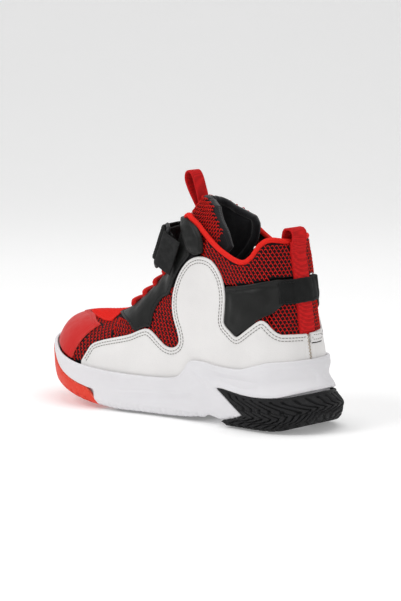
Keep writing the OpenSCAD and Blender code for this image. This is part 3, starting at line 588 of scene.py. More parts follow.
def skin(name, p, base, thick, material, r=0.8, sides="udlr", relief=None, **kw):
    """Panel on a grid of form points, with rounded edges on the given sides: u, d, l and r."""
    n = normal(p)
    left, right = lengths(p, 1)
    down, up = lengths(p, 0)
    d = np.full(p.shape[:2], 99.0)
    for key, value in (("l", left), ("r", right), ("d", down), ("u", up)):
        if key in sides:
            d = np.minimum(d, value)
    h = base + thick * bead(d, r)
    if relief is not None:
        h = h + relief(p, d) * bead(d, r)
    return shell(name, p + n * h[..., None], p + n * (base - 0.05 + 0 * d)[..., None], material, edge=d, **kw)


def spokes(w, u, v):
    """Unit vectors at angles w in the plane of u and v, for each point of a path."""
    return np.cos(w)[None, :, None] * u[:, None] + np.sin(w)[None, :, None] * v[:, None]


def tube_mesh(paths, radius, normals, sides=6):
    """Points and faces of many tubes with the same number of points each: paths is (n, k, 3)."""
    n, k = paths.shape[:2]
    t = unit(np.concatenate([paths[:, 1:2] - paths[:, :1], paths[:, 2:] - paths[:, :-2],
                             paths[:, -1:] - paths[:, -2:-1]], 1))
    u = unit(np.cross(normals, t))
    v = np.cross(t, u)
    r = np.broadcast_to(radius, (n, k))[..., None, None]
    angle = np.arange(sides) * 2 * np.pi / sides
    spread_out = np.cos(angle)[:, None] * u[:, :, None] + np.sin(angle)[:, None] * v[:, :, None]
    verts = paths[:, :, None] + r * spread_out
    one = grid_faces(k, sides, wrap=True)
    start = (np.arange(n) * k * sides)[:, None, None]
    walls = (one[None] + start).reshape(-1, 4)
    caps = np.array([(0, 1, sides - 2, sides - 1)] + [(j - 1, j, sides - 1 - j, sides - j)
                                                      for j in range(2, sides // 2)])
    ends = np.concatenate([(caps[:, ::-1][None] + start).reshape(-1, 4),
                           (caps[None] + start + (k - 1) * sides).reshape(-1, 4)])
    return verts.reshape(-1, 3), [walls, ends]


def tubes(name, paths, radius, normals, material, sides=6, **kw):
    verts, faces = tube_mesh(paths, radius, normals, sides)
    return make(name, verts, faces, material, turn=volume(verts, faces) < 0, **kw)


def inside(q, loop):
    """Whether chart points are inside a closed loop of chart points."""
    x, y = q[:, 0][:, None], q[:, 1][:, None]
    a, b = loop, np.roll(loop, -1, 0)
    crosses = (a[:, 1] > y) != (b[:, 1] > y)
    at = a[:, 0] + (y - a[:, 1]) * (b[:, 0] - a[:, 0]) / np.where(b[:, 1] == a[:, 1], 1e-9, b[:, 1] - a[:, 1])
    return (crosses & (x < at)).sum(1) % 2 == 1


def nearest(p, line):
    """Distance from each point to the nearest of a line's points."""
    out = np.empty(len(p))
    for i in range(0, len(p), 2000):
        out[i:i + 2000] = np.sqrt(((p[i:i + 2000, None] - line[None]) ** 2).sum(-1)).min(1)
    return out


def resample(line, gap, closed=True):
    """Points about gap apart along a polyline."""
    ends = np.concatenate([line, line[:1]]) if closed else line
    run = running(ends)
    n = max(int(round(run[-1] / gap)), 4)
    at = np.linspace(0, run[-1], n, endpoint=not closed)
    return at_run(ends, run, at)


class Patch:
    """A panel with a free outline: its chart, outline, insets and stitching lines."""

    def __init__(self, outline, solid, flat, normals=normal, gap=0.8, onto=project):
        self.solid, self.flat, self.normals, self.onto = solid, flat, normals, onto
        fine = solid(resample(np.asarray(outline, float), 0.25))
        both = np.concatenate([fine, flat(fine)], 1)
        run = running(fine)
        n = int(run[-1] / gap)
        at = np.linspace(0, run[-1], n, endpoint=False)
        both = at_run(both, run, at)
        self.p, self.q = both[:, :3], both[:, 3:]
        area = (self.q[:, 0] * np.roll(self.q[:, 1], -1) - self.q[:, 1] * np.roll(self.q[:, 0], -1)).sum()
        if area < 0:
            self.p, self.q = self.p[::-1], self.q[::-1]
        n3 = normals(self.p)
        t = unit(np.roll(self.p, -1, 0) - np.roll(self.p, 1, 0))
        m = unit(np.cross(n3, t))
        probe = flat(self.onto(self.p + 0.5 * m))
        self.inward = m if inside(probe, self.q).mean() > 0.5 else -m
        smooth = self.inward
        for _ in range(2):
            smooth = (smooth * 2 + np.roll(smooth, 1, 0) + np.roll(smooth, -1, 0)) / 4
        self.inward = unit(smooth)

    def inset(self, d, keep=0.965):
        """Line d inside the outline, without the points that corners would fold back."""
        p = self.onto(self.p + self.inward * d)
        ok = nearest(p, self.p) > d * keep
        return p[ok]

    def build(self, name, base, thick, material, r=0.7, rings=(1.3, 2.0, 2.7, 3.5), step_mm=2.2, relief=None,
              **kw):
        levels = [0.0, 0.1 * r, 0.4 * r, r]
        rim = [self.p] + [self.onto(self.p + self.inward * d) for d in levels[1:]]
        border = self.flat(rim[-1])
        extra = [self.flat(self.inset(d)) for d in rings if d > r]
        lo, hi = self.q.min(0), self.q.max(0)
        gx, gy = np.meshgrid(np.arange(lo[0], hi[0], step_mm), np.arange(lo[1], hi[1], step_mm * 0.87))
        gx[1::2] += step_mm / 2
        field = np.stack([gx.ravel(), gy.ravel()], -1)
        field = field[inside(field, border)]
        far = nearest(self.solid(field), self.p)
        field = field[far > (max(rings) if len(rings) else r) + 0.6 * step_mm]
        q = np.concatenate([border] + extra + [field])
        keep = np.ones(len(q), bool)
        keep[len(border):] = inside(q[len(border):], border)
        q = q[keep]
        m = len(border)
        got = delaunay_2d_cdt([Vector(v) for v in q], [], [list(range(m))], 1, 1e-6)
        out = np.array([list(v) for v in got[0]])
        tris = np.array([f for f in got[2] if len(f) == 3])
        placed = {}
        for i, origin in enumerate(got[3]):
            for o in origin:
                placed[o] = i
        link = np.array([placed[i] for i in range(m)])
        inner = self.solid(out)
        d = nearest(inner, self.p)
        d[link] = r
        points = np.concatenate(rim[:-1] + [inner])
        dist = np.concatenate([np.full(m, v) for v in levels[:-1]] + [d])
        n3 = self.normals(points)
        h = base + thick * bead(dist, r)
        if relief is not None:
            h = h + relief(points, dist) * bead(dist, r)
        top = points + n3 * h[:, None]
        low = points + n3 * (base - 0.02)
        k = len(points)
        loop = np.arange(m)
        nxt = (loop + 1) % m
        ids = [loop, loop + m, loop + 2 * m, link + 3 * m]
        walls = np.concatenate([np.stack([a, a[nxt], b[nxt], b], -1) for a, b in zip(ids[:-1], ids[1:])])
        tris = tris + 3 * m
        under = [np.where(f < m, f, f + k) for f in (walls, tris)]
        verts = np.concatenate([top, low])
        faces = [walls, tris, under[0][:, ::-1], under[1][:, ::-1]]
        a, b, c = (top[tris[:, i]] for i in range(3))
        facing = (np.cross(b - a, c - a) * n3[tris[:, 0]]).sum() > 0
        if not facing:
            faces[1], faces[3] = faces[1][:, ::-1], faces[3][:, ::-1]
        if (np.cross(top[walls[:, 1]] - top[walls[:, 0]], top[walls[:, 2]] - top[walls[:, 0]])
                * n3[walls[:, 2]]).sum() < 0:
            faces[0], faces[2] = faces[0][:, ::-1], faces[2][:, ::-1]
        return make(name, verts, faces, material, edge=np.concatenate([dist, np.zeros(k)]), **kw)


def stitches(name, lines, normals, material, height=0.0, pitch=2.7, length=2.0, radius=0.26, **kw):
    """Rows of single stitches along lines on the surface: each dips in at both ends."""
    all_paths, all_normals = [], []
    for line in lines:
        run = running(line)
        gaps = np.diff(run)
        centres = np.arange(pitch * 0.7, run[-1] - pitch * 0.7, pitch)
        at = centres[:, None] + np.linspace(-0.5, 0.5, 5)[None] * length
        p = at_run(line, run, at)
        broken = np.array([((gaps > pitch) & (run[:-1] < row[-1]) & (run[1:] > row[0])).any() for row in at])
        p = p[~broken]
        if not len(p):
            continue
        n = normals(p)
        lift = height + radius * np.array([-1.6, 0.35, 0.6, 0.35, -1.6])
        all_paths.append(p + n * lift[None, :, None])
        all_normals.append(n)
    paths, n = np.concatenate(all_paths), np.concatenate(all_normals)
    return tubes(name, paths, radius, n, material, **kw)


def side_outline(points, s, k=6, soft=True):
    """Closed outline given as x, z points on one side of the form, as chart points."""
    q = spline(points, k, closed=True) if soft else np.asarray(points, float)
    return unrolled[s].flat(on_side(q[:, 0], q[:, 1], s))


def side_patch(outline, s):
    """Panel on one side of the form, from its outline as chart points."""
    return Patch(outline, unrolled[s].solid, unrolled[s].flat)


def where(line, test):
    """The stretches of a line whose points pass a test."""
    ok = test(line)
    cuts = np.flatnonzero(np.diff(ok.astype(int))) + 1
    return [part for part in np.split(line, cuts) if len(part) > 4 and test(part[:1])[0]]


NAMES = {NEAR: "near", FAR: "far"}


# ---------------------------------------------------------------- leather panels
PANEL_TOP = [(-68, 31), (-65, 36.5), (-61.5, 42.5), (-54, 45.8), (-46, 48), (-29, 52.5), (-19.5, 56.6),
             (-13.2, 58.3), (-8, 56.6), (-1.4, 52), (4, 48.6), (9.3, 47.6), (14, 49.6), (15.6, 54),
             (13.2, 61), (10, 69), (8.4, 77), (8.8, 86), (12, 96), (17, 103.8), (23.6, 109.3), (33, 112),
             (43, 110.3), (50.5, 104), (55, 96), (57, 86), (56.4, 77), (55.9, 70.2), (57.5, 67.3), (61, 64.8),
             (64.4, 62.3), (67.3, 61.2), (70.2, 62.6), (78, 68.6), (82.6, 72.3), (85.6, 73.6), (88.6, 72.3),
             (91.4, 68.8), (94, 65.9), (96.4, 64.3)]
panel_foot = [(x, float(bed(x)) + 5) for x in (98, 92, 77, 60, 47, 33, 20, 8, -10, -32, -50, -64, -68)]


def panel_outline(s):
    """The white panel's outline as chart points: its top edge, the seam at the back, its foot."""
    lines = spline(PANEL_TOP, 6), np.array(panel_foot)
    flat = [unrolled[s].flat(on_side(q[:, 0], q[:, 1], s)) for q in lines]
    back = [(-9, 63.9), (-4, 63.6), (-1.9, 63.45), (-1.0, 63.1), (-0.45, 62.5), (-0.12, 61.6), (-0.12, 44),
            (-0.12, 26)]
    return np.concatenate([flat[0], back, flat[1]])


PANEL_SEAMS = (2.4, 4.4)


def panel_relief(p, d):
    """Stitching grooves, a padded middle and a soft waviness."""
    wave = 0.12 * np.sin(p[:, 0] / 17 + p[:, 2] / 11) + 0.08 * np.sin(p[:, 0] / 7.3 - p[:, 2] / 9)
    return (groove(d, PANEL_SEAMS[0], 0.42, 0.28) + groove(d, PANEL_SEAMS[1], 0.42, 0.28)
            + 0.10 * np.exp(-((d - 3.4) / 0.5) ** 2) + 0.45 * step(d, 5, 13) + wave * step(d, 4, 12))


def on_edge(d, s):
    """Test for stitching points: above the sole, and not down the seam at the back."""
    def test(p):
        back = -unrolled[s].flat(p)[:, 0]
        return (p[:, 2] > lip(p[:, 0]) + 1.0) & ((back > d + 0.6) | (p[:, 2] > 62.6))
    return test


for s in (NEAR, FAR):
    name = NAMES[s]
    patch = side_patch(panel_outline(s), s)
    patch.build("side_panel_" + name + "_skin", 0.25, 1.15, "white_leather", r=0.9, relief=panel_relief,
                rings=(1.4, 1.9, 2.2, 2.4, 2.6, 2.9, 3.4, 3.9, 4.2, 4.4, 4.6, 5.0, 5.8, 7.2),
                replaces=["side_panel_" + name])
    rows = [part for d in PANEL_SEAMS for part in where(patch.inset(d), on_edge(d, s))]
    stitches("side_panel_" + name + "_stitching", rows, normal, "grey_thread", height=1.28, pitch=2.35,
             length=1.75, radius=0.24)


def throat(w, z, s):
    """x, z of the form's points that are w from the middle at each height."""
    u = np.linspace(0, 0.5, 900)
    out = []
    for h in z:
        y = np.abs(ring(s * np.maximum(u, 1e-6), h)[:, 1])
        at = np.interp(w, y, u)
        out.append((float(ring(s * at, h)[0]), h))
    return out


def eyelet(s, z):
    x = throat(17, [z], s)[0][0]
    return np.array([x, s * 17.0, z])


LACE_ROWS = (69.5, 77.5, 86, 94.5)
covers = {NEAR: [], FAR: []}


EYESTAY_OUTER = [(-59, 62.3), (-52, 62.6), (-44, 62), (-37, 60.9), (-31, 59.2), (-27, 57), (-24.3, 55.5),
                 (-19, 57.5), (-13.6, 59.4), (-10.6, 59.6), (-9.9, 63), (-9.5, 69), (-7, 75.3), (-2.5, 80.3),
                 (3.4, 82.8), (6.4, 88), (9, 95), (14.2, 103), (22.3, 112), (19.4, 116.4), (15.5, 121),
                 (11.6, 125.8), (8, 130)]
EYELETS = {s: np.array([eyelet(s, z) for z in LACE_ROWS]) for s in (NEAR, FAR)}


def eyestay_relief(p, d):
    """Creases between the eyelets, a stitched border and a dimple at each eyelet."""
    s = NEAR if p[:, 1].mean() < 0 else FAR
    near = np.sqrt(((p[:, None] - EYELETS[s][None]) ** 2).sum(-1)).min(1)
    dimple = -0.75 * np.exp(-(near / 1.5) ** 2) + 0.28 * np.exp(-((near - 3.1) / 0.9) ** 2)
    crease = 0.22 * np.sin(p[:, 0] * 0.36 + p[:, 2] * 0.13 + 0.8 * np.sin(p[:, 2] * 0.21)) * step(d, 2.5, 8)
    return dimple + crease + groove(d, 2.0, 0.45, 0.22) + 0.35 * step(d, 3, 9)


for s in (NEAR, FAR):
    name = NAMES[s]
    inner = throat(13, [133, 129, 124, 117, 110, 103, 96, 89, 82, 76, 71, 66.5], s)
    patch = side_patch(side_outline(EYESTAY_OUTER + inner, s), s)
    patch.build("eyestay_" + name + "_leather", 0.25, 1.1, "black_leather", relief=eyestay_relief,
                step_mm=1.3, rings=(1.2, 1.7, 2.0, 2.3, 3.0, 4.0), replaces=["eyestay_" + name])
    stitches("eyestay_" + name + "_stitching", [patch.inset(2.0)], normal, "black_thread", height=1.15,
             pitch=2.5, radius=0.22)
    covers[s].append((patch.q, patch.p))
    panel = side_patch(panel_outline(s), s)
    covers[s].append((panel.q, panel.p))


def ankle_relief(p, d):
    """Padded, with a piped top edge and soft folds running towards the heel."""
    top = np.interp(p[:, 0], [59, 64, 72, 80, 93], [94.4, 95.1, 96.4, 98.1, 100.7]) - p[:, 2]
    fold = 0.25 * np.sin(p[:, 0] * 0.22 + p[:, 2] * 0.30) + 0.18 * np.sin(p[:, 0] * 0.5 - p[:, 2] * 0.22)
    edge_band = groove(top, 3.4, 0.7, 0.75) + 0.2 * np.exp(-((top - 1.7) / 0.9) ** 2)
    return edge_band + (0.7 + fold) * step(d, 2, 8)


ANKLE = [(56.8, 70), (58.6, 66.6), (62.6, 63.9), (67.3, 62.0), (72, 65.0), (78, 69.0), (82, 72.6),
         (86.5, 75.6), (90.4, 77.6), (93.2, 80.6), (95, 84), (95.6, 88), (95.2, 94), (94.2, 99),
         (92.4, 100.6), (88.5, 99.9), (84, 99.0), (80, 98.1), (76, 97.2), (72, 96.4), (68, 95.7), (64, 95.1),
         (60, 94.5), (57.4, 93.6), (57.2, 86), (57.0, 78)]
for s in (NEAR, FAR):
    name = NAMES[s]
    patch = side_patch(side_outline(ANKLE, s), s)
    patch.build("ankle_panel_" + name + "_leather", 0.25, 1.1, "black_leather", relief=ankle_relief,
                step_mm=1.1, rings=(1.2, 1.7, 2.3), replaces=["ankle_panel_" + name])
    covers[s].append((patch.q, patch.p))


# ---------------------------------------------------------------- knits: black ground, red yarn
collar_tab = spline([(-2, 140), (-1.82, 139.5), (-1.72, 137), (-1.6, 128), (-1.47, 117), (-1.35, 111.5),
                     (-1.285, 115), (-1.22, 123.5), (-1.15, 126.5), (-1, 124.5), (-.85, 126.5), (-.78, 123.5),
                     (-.715, 114.5), (-.65, 111), (-.53, 117), (-.4, 128), (-.28, 137), (-.18, 139.5),
                     (0, 140)])


def collar_z(a):
    return np.interp(a, collar_tab[:, 0], collar_tab[:, 1])


def uncovered(p, margin=1.3):
    """Whether points of the form show, or are less than the margin under a leather edge."""
    free = p[:, 2] > lip(p[:, 0]) - 2
    for s in (NEAR, FAR):
        side = (p[:, 1] < 0) == (s < 0)
        for loop, line in covers[s]:
            q = unrolled[s].flat(p)
            hit = side & inside(q, loop)
            if hit.any():
                hit[hit] = nearest(p[hit], line) > margin
                free &= ~hit
    return free


HOOK = np.array([(-.44, .00, -.9), (-.34, .24, .45), (-.14, .36, .85), (.06, .28, .9), (.17, .06, .85),
                 (.24, -.16, .75), (.34, -.34, .4), (.42, -.44, -.9)])
YARN_ROOT = -0.4


def hook_yarn(name, chart, box, test, pitch, radius, lean=0.0, seed=3, **kw):
    """Hooked loops of yarn in staggered rows. chart turns u, v in millimetres into points of the form."""
    (u0, u1), (v0, v1) = box
    rows = np.arange(v0, v1, pitch[1])
    u, v = np.meshgrid(np.arange(u0, u1, pitch[0]), rows)
    u = u + (np.arange(len(rows)) % 2)[:, None] * pitch[0] / 2 + lean * (v - v0)
    rng = np.random.default_rng(seed)
    c = np.stack([u.ravel(), v.ravel()], -1)
    c += rng.normal(0, 0.05, c.shape)
    c = c[test(chart(c[:, 0], c[:, 1]))]
    fine = spline(HOOK, 2)
    q = c[:, None] + fine[None, :, :2] * np.array(pitch) * (1 + rng.normal(0, 0.05, (len(c), 1, 1)))
    p = chart(q[..., 0], q[..., 1])
    n = normal(p)
    h = YARN_ROOT + fine[:, 2] * 0.75 * radius * 1.6
    return tubes(name, p + n * h[None, :, None], radius, n, "red_yarn", sides=8, **kw)


FINE_KNIT = dict(pitch=(3.0, 2.35), radius=0.29)
OPEN_KNIT = dict(pitch=(3.2, 2.7), radius=0.31)


def knit_ground(name, p, replaces):
    """Black ground under the hooked yarn, a little inside the form's surface."""
    skin(name, p, -1.3, 0.9, "knit_ground", r=0.5, replaces=[replaces])


def side_chart(s):
    return lambda u, v: unrolled[s].solid(np.stack([u, v], -1))


def ring_grid(a, lo, hi, rows):
    """Grid of form points: columns at a, rows from height lo to height hi."""
    t = np.linspace(0, 1, rows)[:, None]
    return ring(a[None, :] + 0 * t, mix(lo[None, :], hi[None, :], t))


a = np.linspace(-0.43, -1.57, 220)
low = np.interp(-a, [.4, .5, .57, .7, .84, 1, 1.16, 1.3, 1.43, 1.5, 1.6],
                [114, 101.5, 94.5, 97, 101.5, 102, 101.5, 97, 94.5, 101.5, 114])
knit_ground("collar_ground", ring_grid(a, low, collar_z(a) - 2.0, 22), "collar_knit")


def on_collar(p):
    s = np.where(p[:, 1] < 0, -1, 1)
    u = ring_u_at(p[:, 0], p[:, 2])
    around = np.where(s < 0, -u, u - 2)
    edge = collar_z(around) - 2.2
    bottom = np.interp(-around, [.4, .5, .57, .7, .84, 1, 1.16, 1.3, 1.43, 1.5, 1.6],
                       [114, 101.5, 94.5, 97, 101, 101, 101, 97, 94.5, 101.5, 114])
    webbing = (p[:, 0] > 80) & (np.abs(p[:, 1]) < 6.9)
    rolled = (p[:, 0] < 31) & (p[:, 2] > 113 + (31 - p[:, 0]) * 0.9)
    return (p[:, 2] < edge) & (p[:, 2] > bottom + 0.3) & uncovered(p) & ~webbing & ~rolled & (u > 0.42)


hook_yarn("collar_loops", heel_chart, ((-104, 104), (94, 136)), on_collar, **FINE_KNIT, lean=0.12)

for s in (NEAR, FAR):
    name = NAMES[s]
    xs = np.linspace(-45.5, 88, 150)
    up = spline([(-44, 72), (-34, 79), (-27, 89), (-18, 101), (-9, 112), (-2, 122), (10, 130), (24, 124),
                 (30, 112.5), (39, 99.6), (50.5, 92.8), (64, 94.2), (77, 97), (88, 98.8)])
    hi = np.interp(xs, up[:, 0], up[:, 1])
    t = np.linspace(0, 1, 60)[:, None]
    x, z = xs[None, :] + 0 * t, mix(bed(xs)[None, :] + 3, hi[None, :], t)
    limit = top_z(x) - 2.5
    z = np.minimum(z, limit)
    p = on_side(x, z, s)
    knit_ground("quarter_" + name + "_ground", p, "quarter_mesh_" + name)
    window = [(-24, 50), (16, 44), (20, 60), (12, 90), (0, 86), (-12, 74), (-20, 62), (-48, 62), (-52, 44)]
    loop = side_outline(window, s, soft=False)

    def in_window(p, s=s, loop=loop):
        return inside(unrolled[s].flat(p), loop) & uncovered(p) & (p[:, 0] > -46.5)

    hook_yarn("window_" + name + "_loops", side_chart(s), ((-185, -70), (44, 92)), in_window, **OPEN_KNIT,
              lean=0.35, seed=5)

# the knit below the heel band, beside the webbing
a = np.linspace(-0.835, -1.165, 90)
knit_ground("heel_ground", ring_grid(a, 0 * a + 58, 0 * a + 100.6, 40), "heel_knit")


def on_heel(p):
    return (p[:, 2] > 60) & (p[:, 2] < 86) & (np.abs(p[:, 1]) > 6.9) & uncovered(p, 1.0) & (p[:, 0] > 80)


hook_yarn("heel_loops", heel_chart, ((-40, 40), (59, 88)), on_heel, **FINE_KNIT, lean=0.12, seed=4)


# ---------------------------------------------------------------- toe: vamp net, cap and ribbed overlay
def ruled(lo, hi, cols, rows, chart, ends=0.9):
    """Grid between two lines of chart points, with rows evenly spaced along each column."""
    k = max(2, cols // (len(lo) - 1))
    a, b = spline(lo, k), spline(hi, k)
    t = np.linspace(0, 1, 90)[:, None]
    q = a[None] * (1 - t[..., None]) + b[None] * t[..., None]
    p = chart(q[..., 0], q[..., 1])
    run = np.concatenate([np.zeros((1, len(a))), np.cumsum(np.linalg.norm(np.diff(p, axis=0), axis=-1), 0)])
    want = spread(rows, run[-1].mean(), ends)
    at = np.stack([np.interp(want * run[-1, j], run[:, j], t[:, 0]) for j in range(len(a))], 1)
    q = a[None] * (1 - at[..., None]) + b[None] * at[..., None]
    return chart(q[..., 0], q[..., 1])


cap_low = [(-78, 31.5), (-90, 35), (-101, 39), (-110, 42), (-115, 43)]
cap_high = [(x, float(FORM_Z0 + (top_z(x) - FORM_Z0)
                      * (1 - (y / plan_w(x, 20.0, True)) ** 2) ** (1 / SQUARENESS)))
            for x, y in ((-64, 26), (-79, 15.5), (-89, 9), (-95.5, 5), (-98.5, 2.2))]


def both_sides(points, middle):
    """Ring positions and heights: the near side, the middle of the toe, the far side."""
    half = [(float(ring_u_at(x, z)), z) for x, z in points]
    return [(-u, z) for u, z in half] + [(0.0, middle)] + half[::-1]


cap = ruled(both_sides(cap_low, 44.0), both_sides(cap_high, 57.6), 200, 90, ring)


def cap_relief(p, d):
    """Two fine beads along the seam over the toe, flatter down the sides."""
    top = step(p[..., 2], 50, 57)
    beads = np.exp(-((d - 1.5) / 0.45) ** 2) + np.exp(-((d - 3.1) / 0.45) ** 2)
    raised = (0.12 + 0.38 * top) * beads
    return raised + groove(d, 4.1, 0.4, 0.2) + groove(d, 2.3, 0.35, 0.18) + 0.25 * step(d, 4, 16)


skin("toe_cap_leather", cap, 0.25, 1.1, "red_leather", r=0.8, sides="ulr", relief=cap_relief,
     replaces=["toe_cap"])
dome_x = np.linspace(-117, -40, 155)
dome_f = np.linspace(2, 178, 360)
dome_p = dome(dome_x[:, None], dome_f[None, :])
dome_arc = np.concatenate([np.zeros((len(dome_x), 1)),
                           np.cumsum(np.linalg.norm(np.diff(dome_p, axis=1), axis=-1), 1)], 1)
middle = np.array([np.interp(90, dome_f, row) for row in dome_arc])
dome_arc = dome_arc - middle[:, None]


def dome_chart(x, t):
    """Point of the toe's dome at x and arc t from the ridge, near side negative."""
    x, t = np.broadcast_arrays(np.asarray(x, float), np.asarray(t, float))
    i = np.clip(np.round((x - dome_x[0]) / (dome_x[1] - dome_x[0])).astype(int), 0, len(dome_x) - 1)
    f = np.empty(x.shape)
    flat_i, flat_t, out = i.ravel(), t.ravel(), f.ravel()
    for k in np.unique(flat_i):
        hit = flat_i == k
        out[hit] = np.interp(flat_t[hit], dome_arc[k], dome_f)
    return dome(x, out.reshape(x.shape))


t = np.linspace(0, 1, 50)[:, None]
f = np.linspace(14, 166, 120)[None, :]
front = -98 + 16 * np.abs(f - 90) / 90
knit_ground("vamp_ground", dome(mix(front, -46.0, t), f + 0 * t), "vamp_mesh")
t = np.linspace(0, 1, 20)[:, None]
f = np.linspace(24, 156, 60)[None, :]
front = -102 + 8 * np.abs(f - 90) / 90
skin("vamp_inner", dome(mix(front, -48.0, t), f + 0 * t), -4, 0.7, "lining", r=0.4, replaces=["vamp_lining"])


def on_vamp(p):
    behind = nearest(p, cap.reshape(-1, 3)[::3]) > 0.35
    over = (np.abs(p[:, 1]) < overlay_half(p[:, 0]) - 1.0)
    return (p[:, 2] > VAMP_FOOT) & behind & ~over & uncovered(p) & (p[:, 0] > -97) & (p[:, 0] < -46.5)


def overlay_half(x):
    """Half width of the ribbed overlay at x: pointed towards the toe."""
    return np.interp(x, [-98, -94, -86, -76, -66, -56], [0, 4.5, 11, 17, 21.5, 24])


hook_yarn("vamp_loops", dome_chart, ((-98, -46), (-84, 84)), on_vamp, **OPEN_KNIT, lean=0.12, seed=6)

xs = np.linspace(-97.4, -55, 130)
v = np.linspace(-1, 1, 120)
x, c = np.meshgrid(xs, v, indexing="ij")
y = c * overlay_half(x) * 0.999
z = FORM_Z0 + (top_z(x) - FORM_Z0) * np.maximum(0, 1 - (y / plan_w(x, 20.0, y < 0)) ** 2) ** (1 / SQUARENESS)


def overlay_relief(p, d):
    """Curved ribs that meet in a point towards the toe."""
    phase = (p[..., 0] + 0.62 * np.abs(p[..., 1]) ** 1.05) / 3.3
    rib = np.abs(np.sin(np.pi * phase)) ** 0.8
    return (1.25 * rib - 0.85) * step(d, 0.8, 2.2)


skin("vamp_overlay_ribs", np.stack([x, y, z], -1), 0.25, 0.9, "red_binding", r=0.7, relief=overlay_relief,
     replaces=["vamp_overlay"])


# ---------------------------------------------------------------- collar: binding, rolls, lining and webbing
def swept(name, path, radius, material, sides=16, up=None, relief=None, **kw):
    """Round bar along one path, with an optional relief(along, around) in millimetres."""
    path = np.asarray(path, float)
    t = unit(np.gradient(path, axis=0))
    n = normal(path) if up is None else np.broadcast_to(np.asarray(up, float), path.shape)
    u = unit(np.cross(n, t))
    v = np.cross(t, u)
    run = running(path)
    w = np.arange(sides) * 2 * np.pi / sides
    r = np.full((len(path), sides), float(radius))
    if relief is not None:
        r = r + relief(run[:, None], w[None, :])
    r[0], r[-1] = 0.02, 0.02
    ring_pts = path[:, None] + r[..., None] * spokes(w, u, v)
    verts = np.concatenate([ring_pts.reshape(-1, 3), path[:1], path[-1:]])
    k = len(path) * sides
    i = np.arange(sides)
    faces = [grid_faces(len(path), sides, wrap=True),
             np.stack([(i + 1) % sides, i, np.full(sides, k)], -1),
             np.stack([i + k - sides, (i + 1) % sides + k - sides, np.full(sides, k + 1)], -1)]
    return make(name, verts, faces, material, turn=volume(verts, faces) < 0, **kw)


a = np.linspace(-0.205, -1.795, 660)
edge = ring(a, collar_z(a) - 2.6 * step(-a, 0.262, 0.205) - 2.6 * step(a, -1.738, -1.795))
lift = np.maximum(step(-a, 0.36, 0.27), step(a, -1.64, -1.73))
binding_path = edge + normal(edge) * mix(-1.5, 1.4, lift)[:, None]


def binding_rib(along, around):
    """Fine knitted ribs that run round the binding at a slant."""
    return 0.10 * np.sin(around * 9 + along * 0.5) + 0.05 * np.sin(along * 5.2 - around)


swept("collar_binding_knit", binding_path, 1.75, "red_binding", sides=40, relief=binding_rib,
      replaces=["collar_binding"])

lining_a = np.linspace(-0.595, -1.495, 170)
t = np.linspace(0, 1, 50)[:, None]
hi = collar_z(lining_a)[None, :] - 1.2
z = mix(29.0, hi, t)
below = hi - z
depth = np.interp(below, [0, 1.5, 4, 9, 18, 34, 60, 90], [2.6, 4.6, 6.6, 8.3, 9.3, 8.4, 7.0, 5.2])
p = ring(lining_a[None, :] + 0 * t, z)
n = normal(p)
puff = 0.35 * np.sin(lining_a * 40)[None, :] * np.exp(-((below - 14) / 9) ** 2)
inner = p - n * (depth + puff)[..., None]
lining = shell("collar_lining", p - n * (depth + puff - 0.9)[..., None], inner, "lining",
               replaces=["quarter_lining", "collar_foam"])


CLOTH_FRAMES = 20


def cloth_pad(obj, pressure, cap, voxel=0.0022, scale=10.0):
    """Swells a padded piece a little by a short cloth simulation, whose capped shift its own mesh takes."""
    rest = np.empty(len(obj.data.vertices) * 3)
    obj.data.vertices.foreach_get("co", rest)
    rest = rest.reshape(-1, 3)
    centre = rest.mean(0)
    mesh = obj.data.copy()
    mesh.vertices.foreach_set("co", ((rest - centre) * scale).ravel())
    sim = bpy.data.objects.new("pad_simulation", mesh)
    scene.collection.objects.link(sim)
    bpy.context.view_layer.objects.active = sim
    mesh.remesh_voxel_size = voxel * scale
    bpy.ops.object.select_all(action="DESELECT")
    sim.select_set(True)
    bpy.ops.object.voxel_remesh()
    start = np.empty(len(sim.data.vertices) * 3)
    sim.data.vertices.foreach_get("co", start)
    start = start.reshape(-1, 3)
    cloth = sim.modifiers.new("cloth", "CLOTH")
    cloth.settings.use_pressure = True
    cloth.settings.uniform_pressure_force = pressure
    cloth.settings.effector_weights.gravity = 0
    cloth.settings.quality = 5
    cloth.settings.tension_stiffness = cloth.settings.compression_stiffness = 15
    for frame_number in range(1, CLOTH_FRAMES + 1):
        scene.frame_set(frame_number)
    ready = sim.evaluated_get(bpy.context.evaluated_depsgraph_get())
    moved = np.empty(len(ready.data.vertices) * 3)
    ready.data.vertices.foreach_get("co", moved)
    delta = (moved.reshape(-1, 3) - start) / scale
    delta -= delta.mean(0)
    size = np.linalg.norm(delta, axis=1, keepdims=True)
    delta *= np.minimum(1, cap / np.maximum(size, 1e-9))
    start = start / scale + centre
    out = np.zeros_like(rest)
    for i in range(0, len(rest), 1500):
        d2 = ((rest[i:i + 1500, None] - start[None]) ** 2).sum(-1)
        near = np.argpartition(d2, 6, axis=1)[:, :6]
        w = 1 / (np.take_along_axis(d2, near, 1) + 1e-7)
        out[i:i + 1500] = (delta[near] * w[..., None]).sum(1) / w.sum(1)[:, None]
    obj.data.vertices.foreach_set("co", (rest + out).ravel())
    obj.data.update()
    bpy.data.objects.remove(sim)
    scene.frame_set(1)


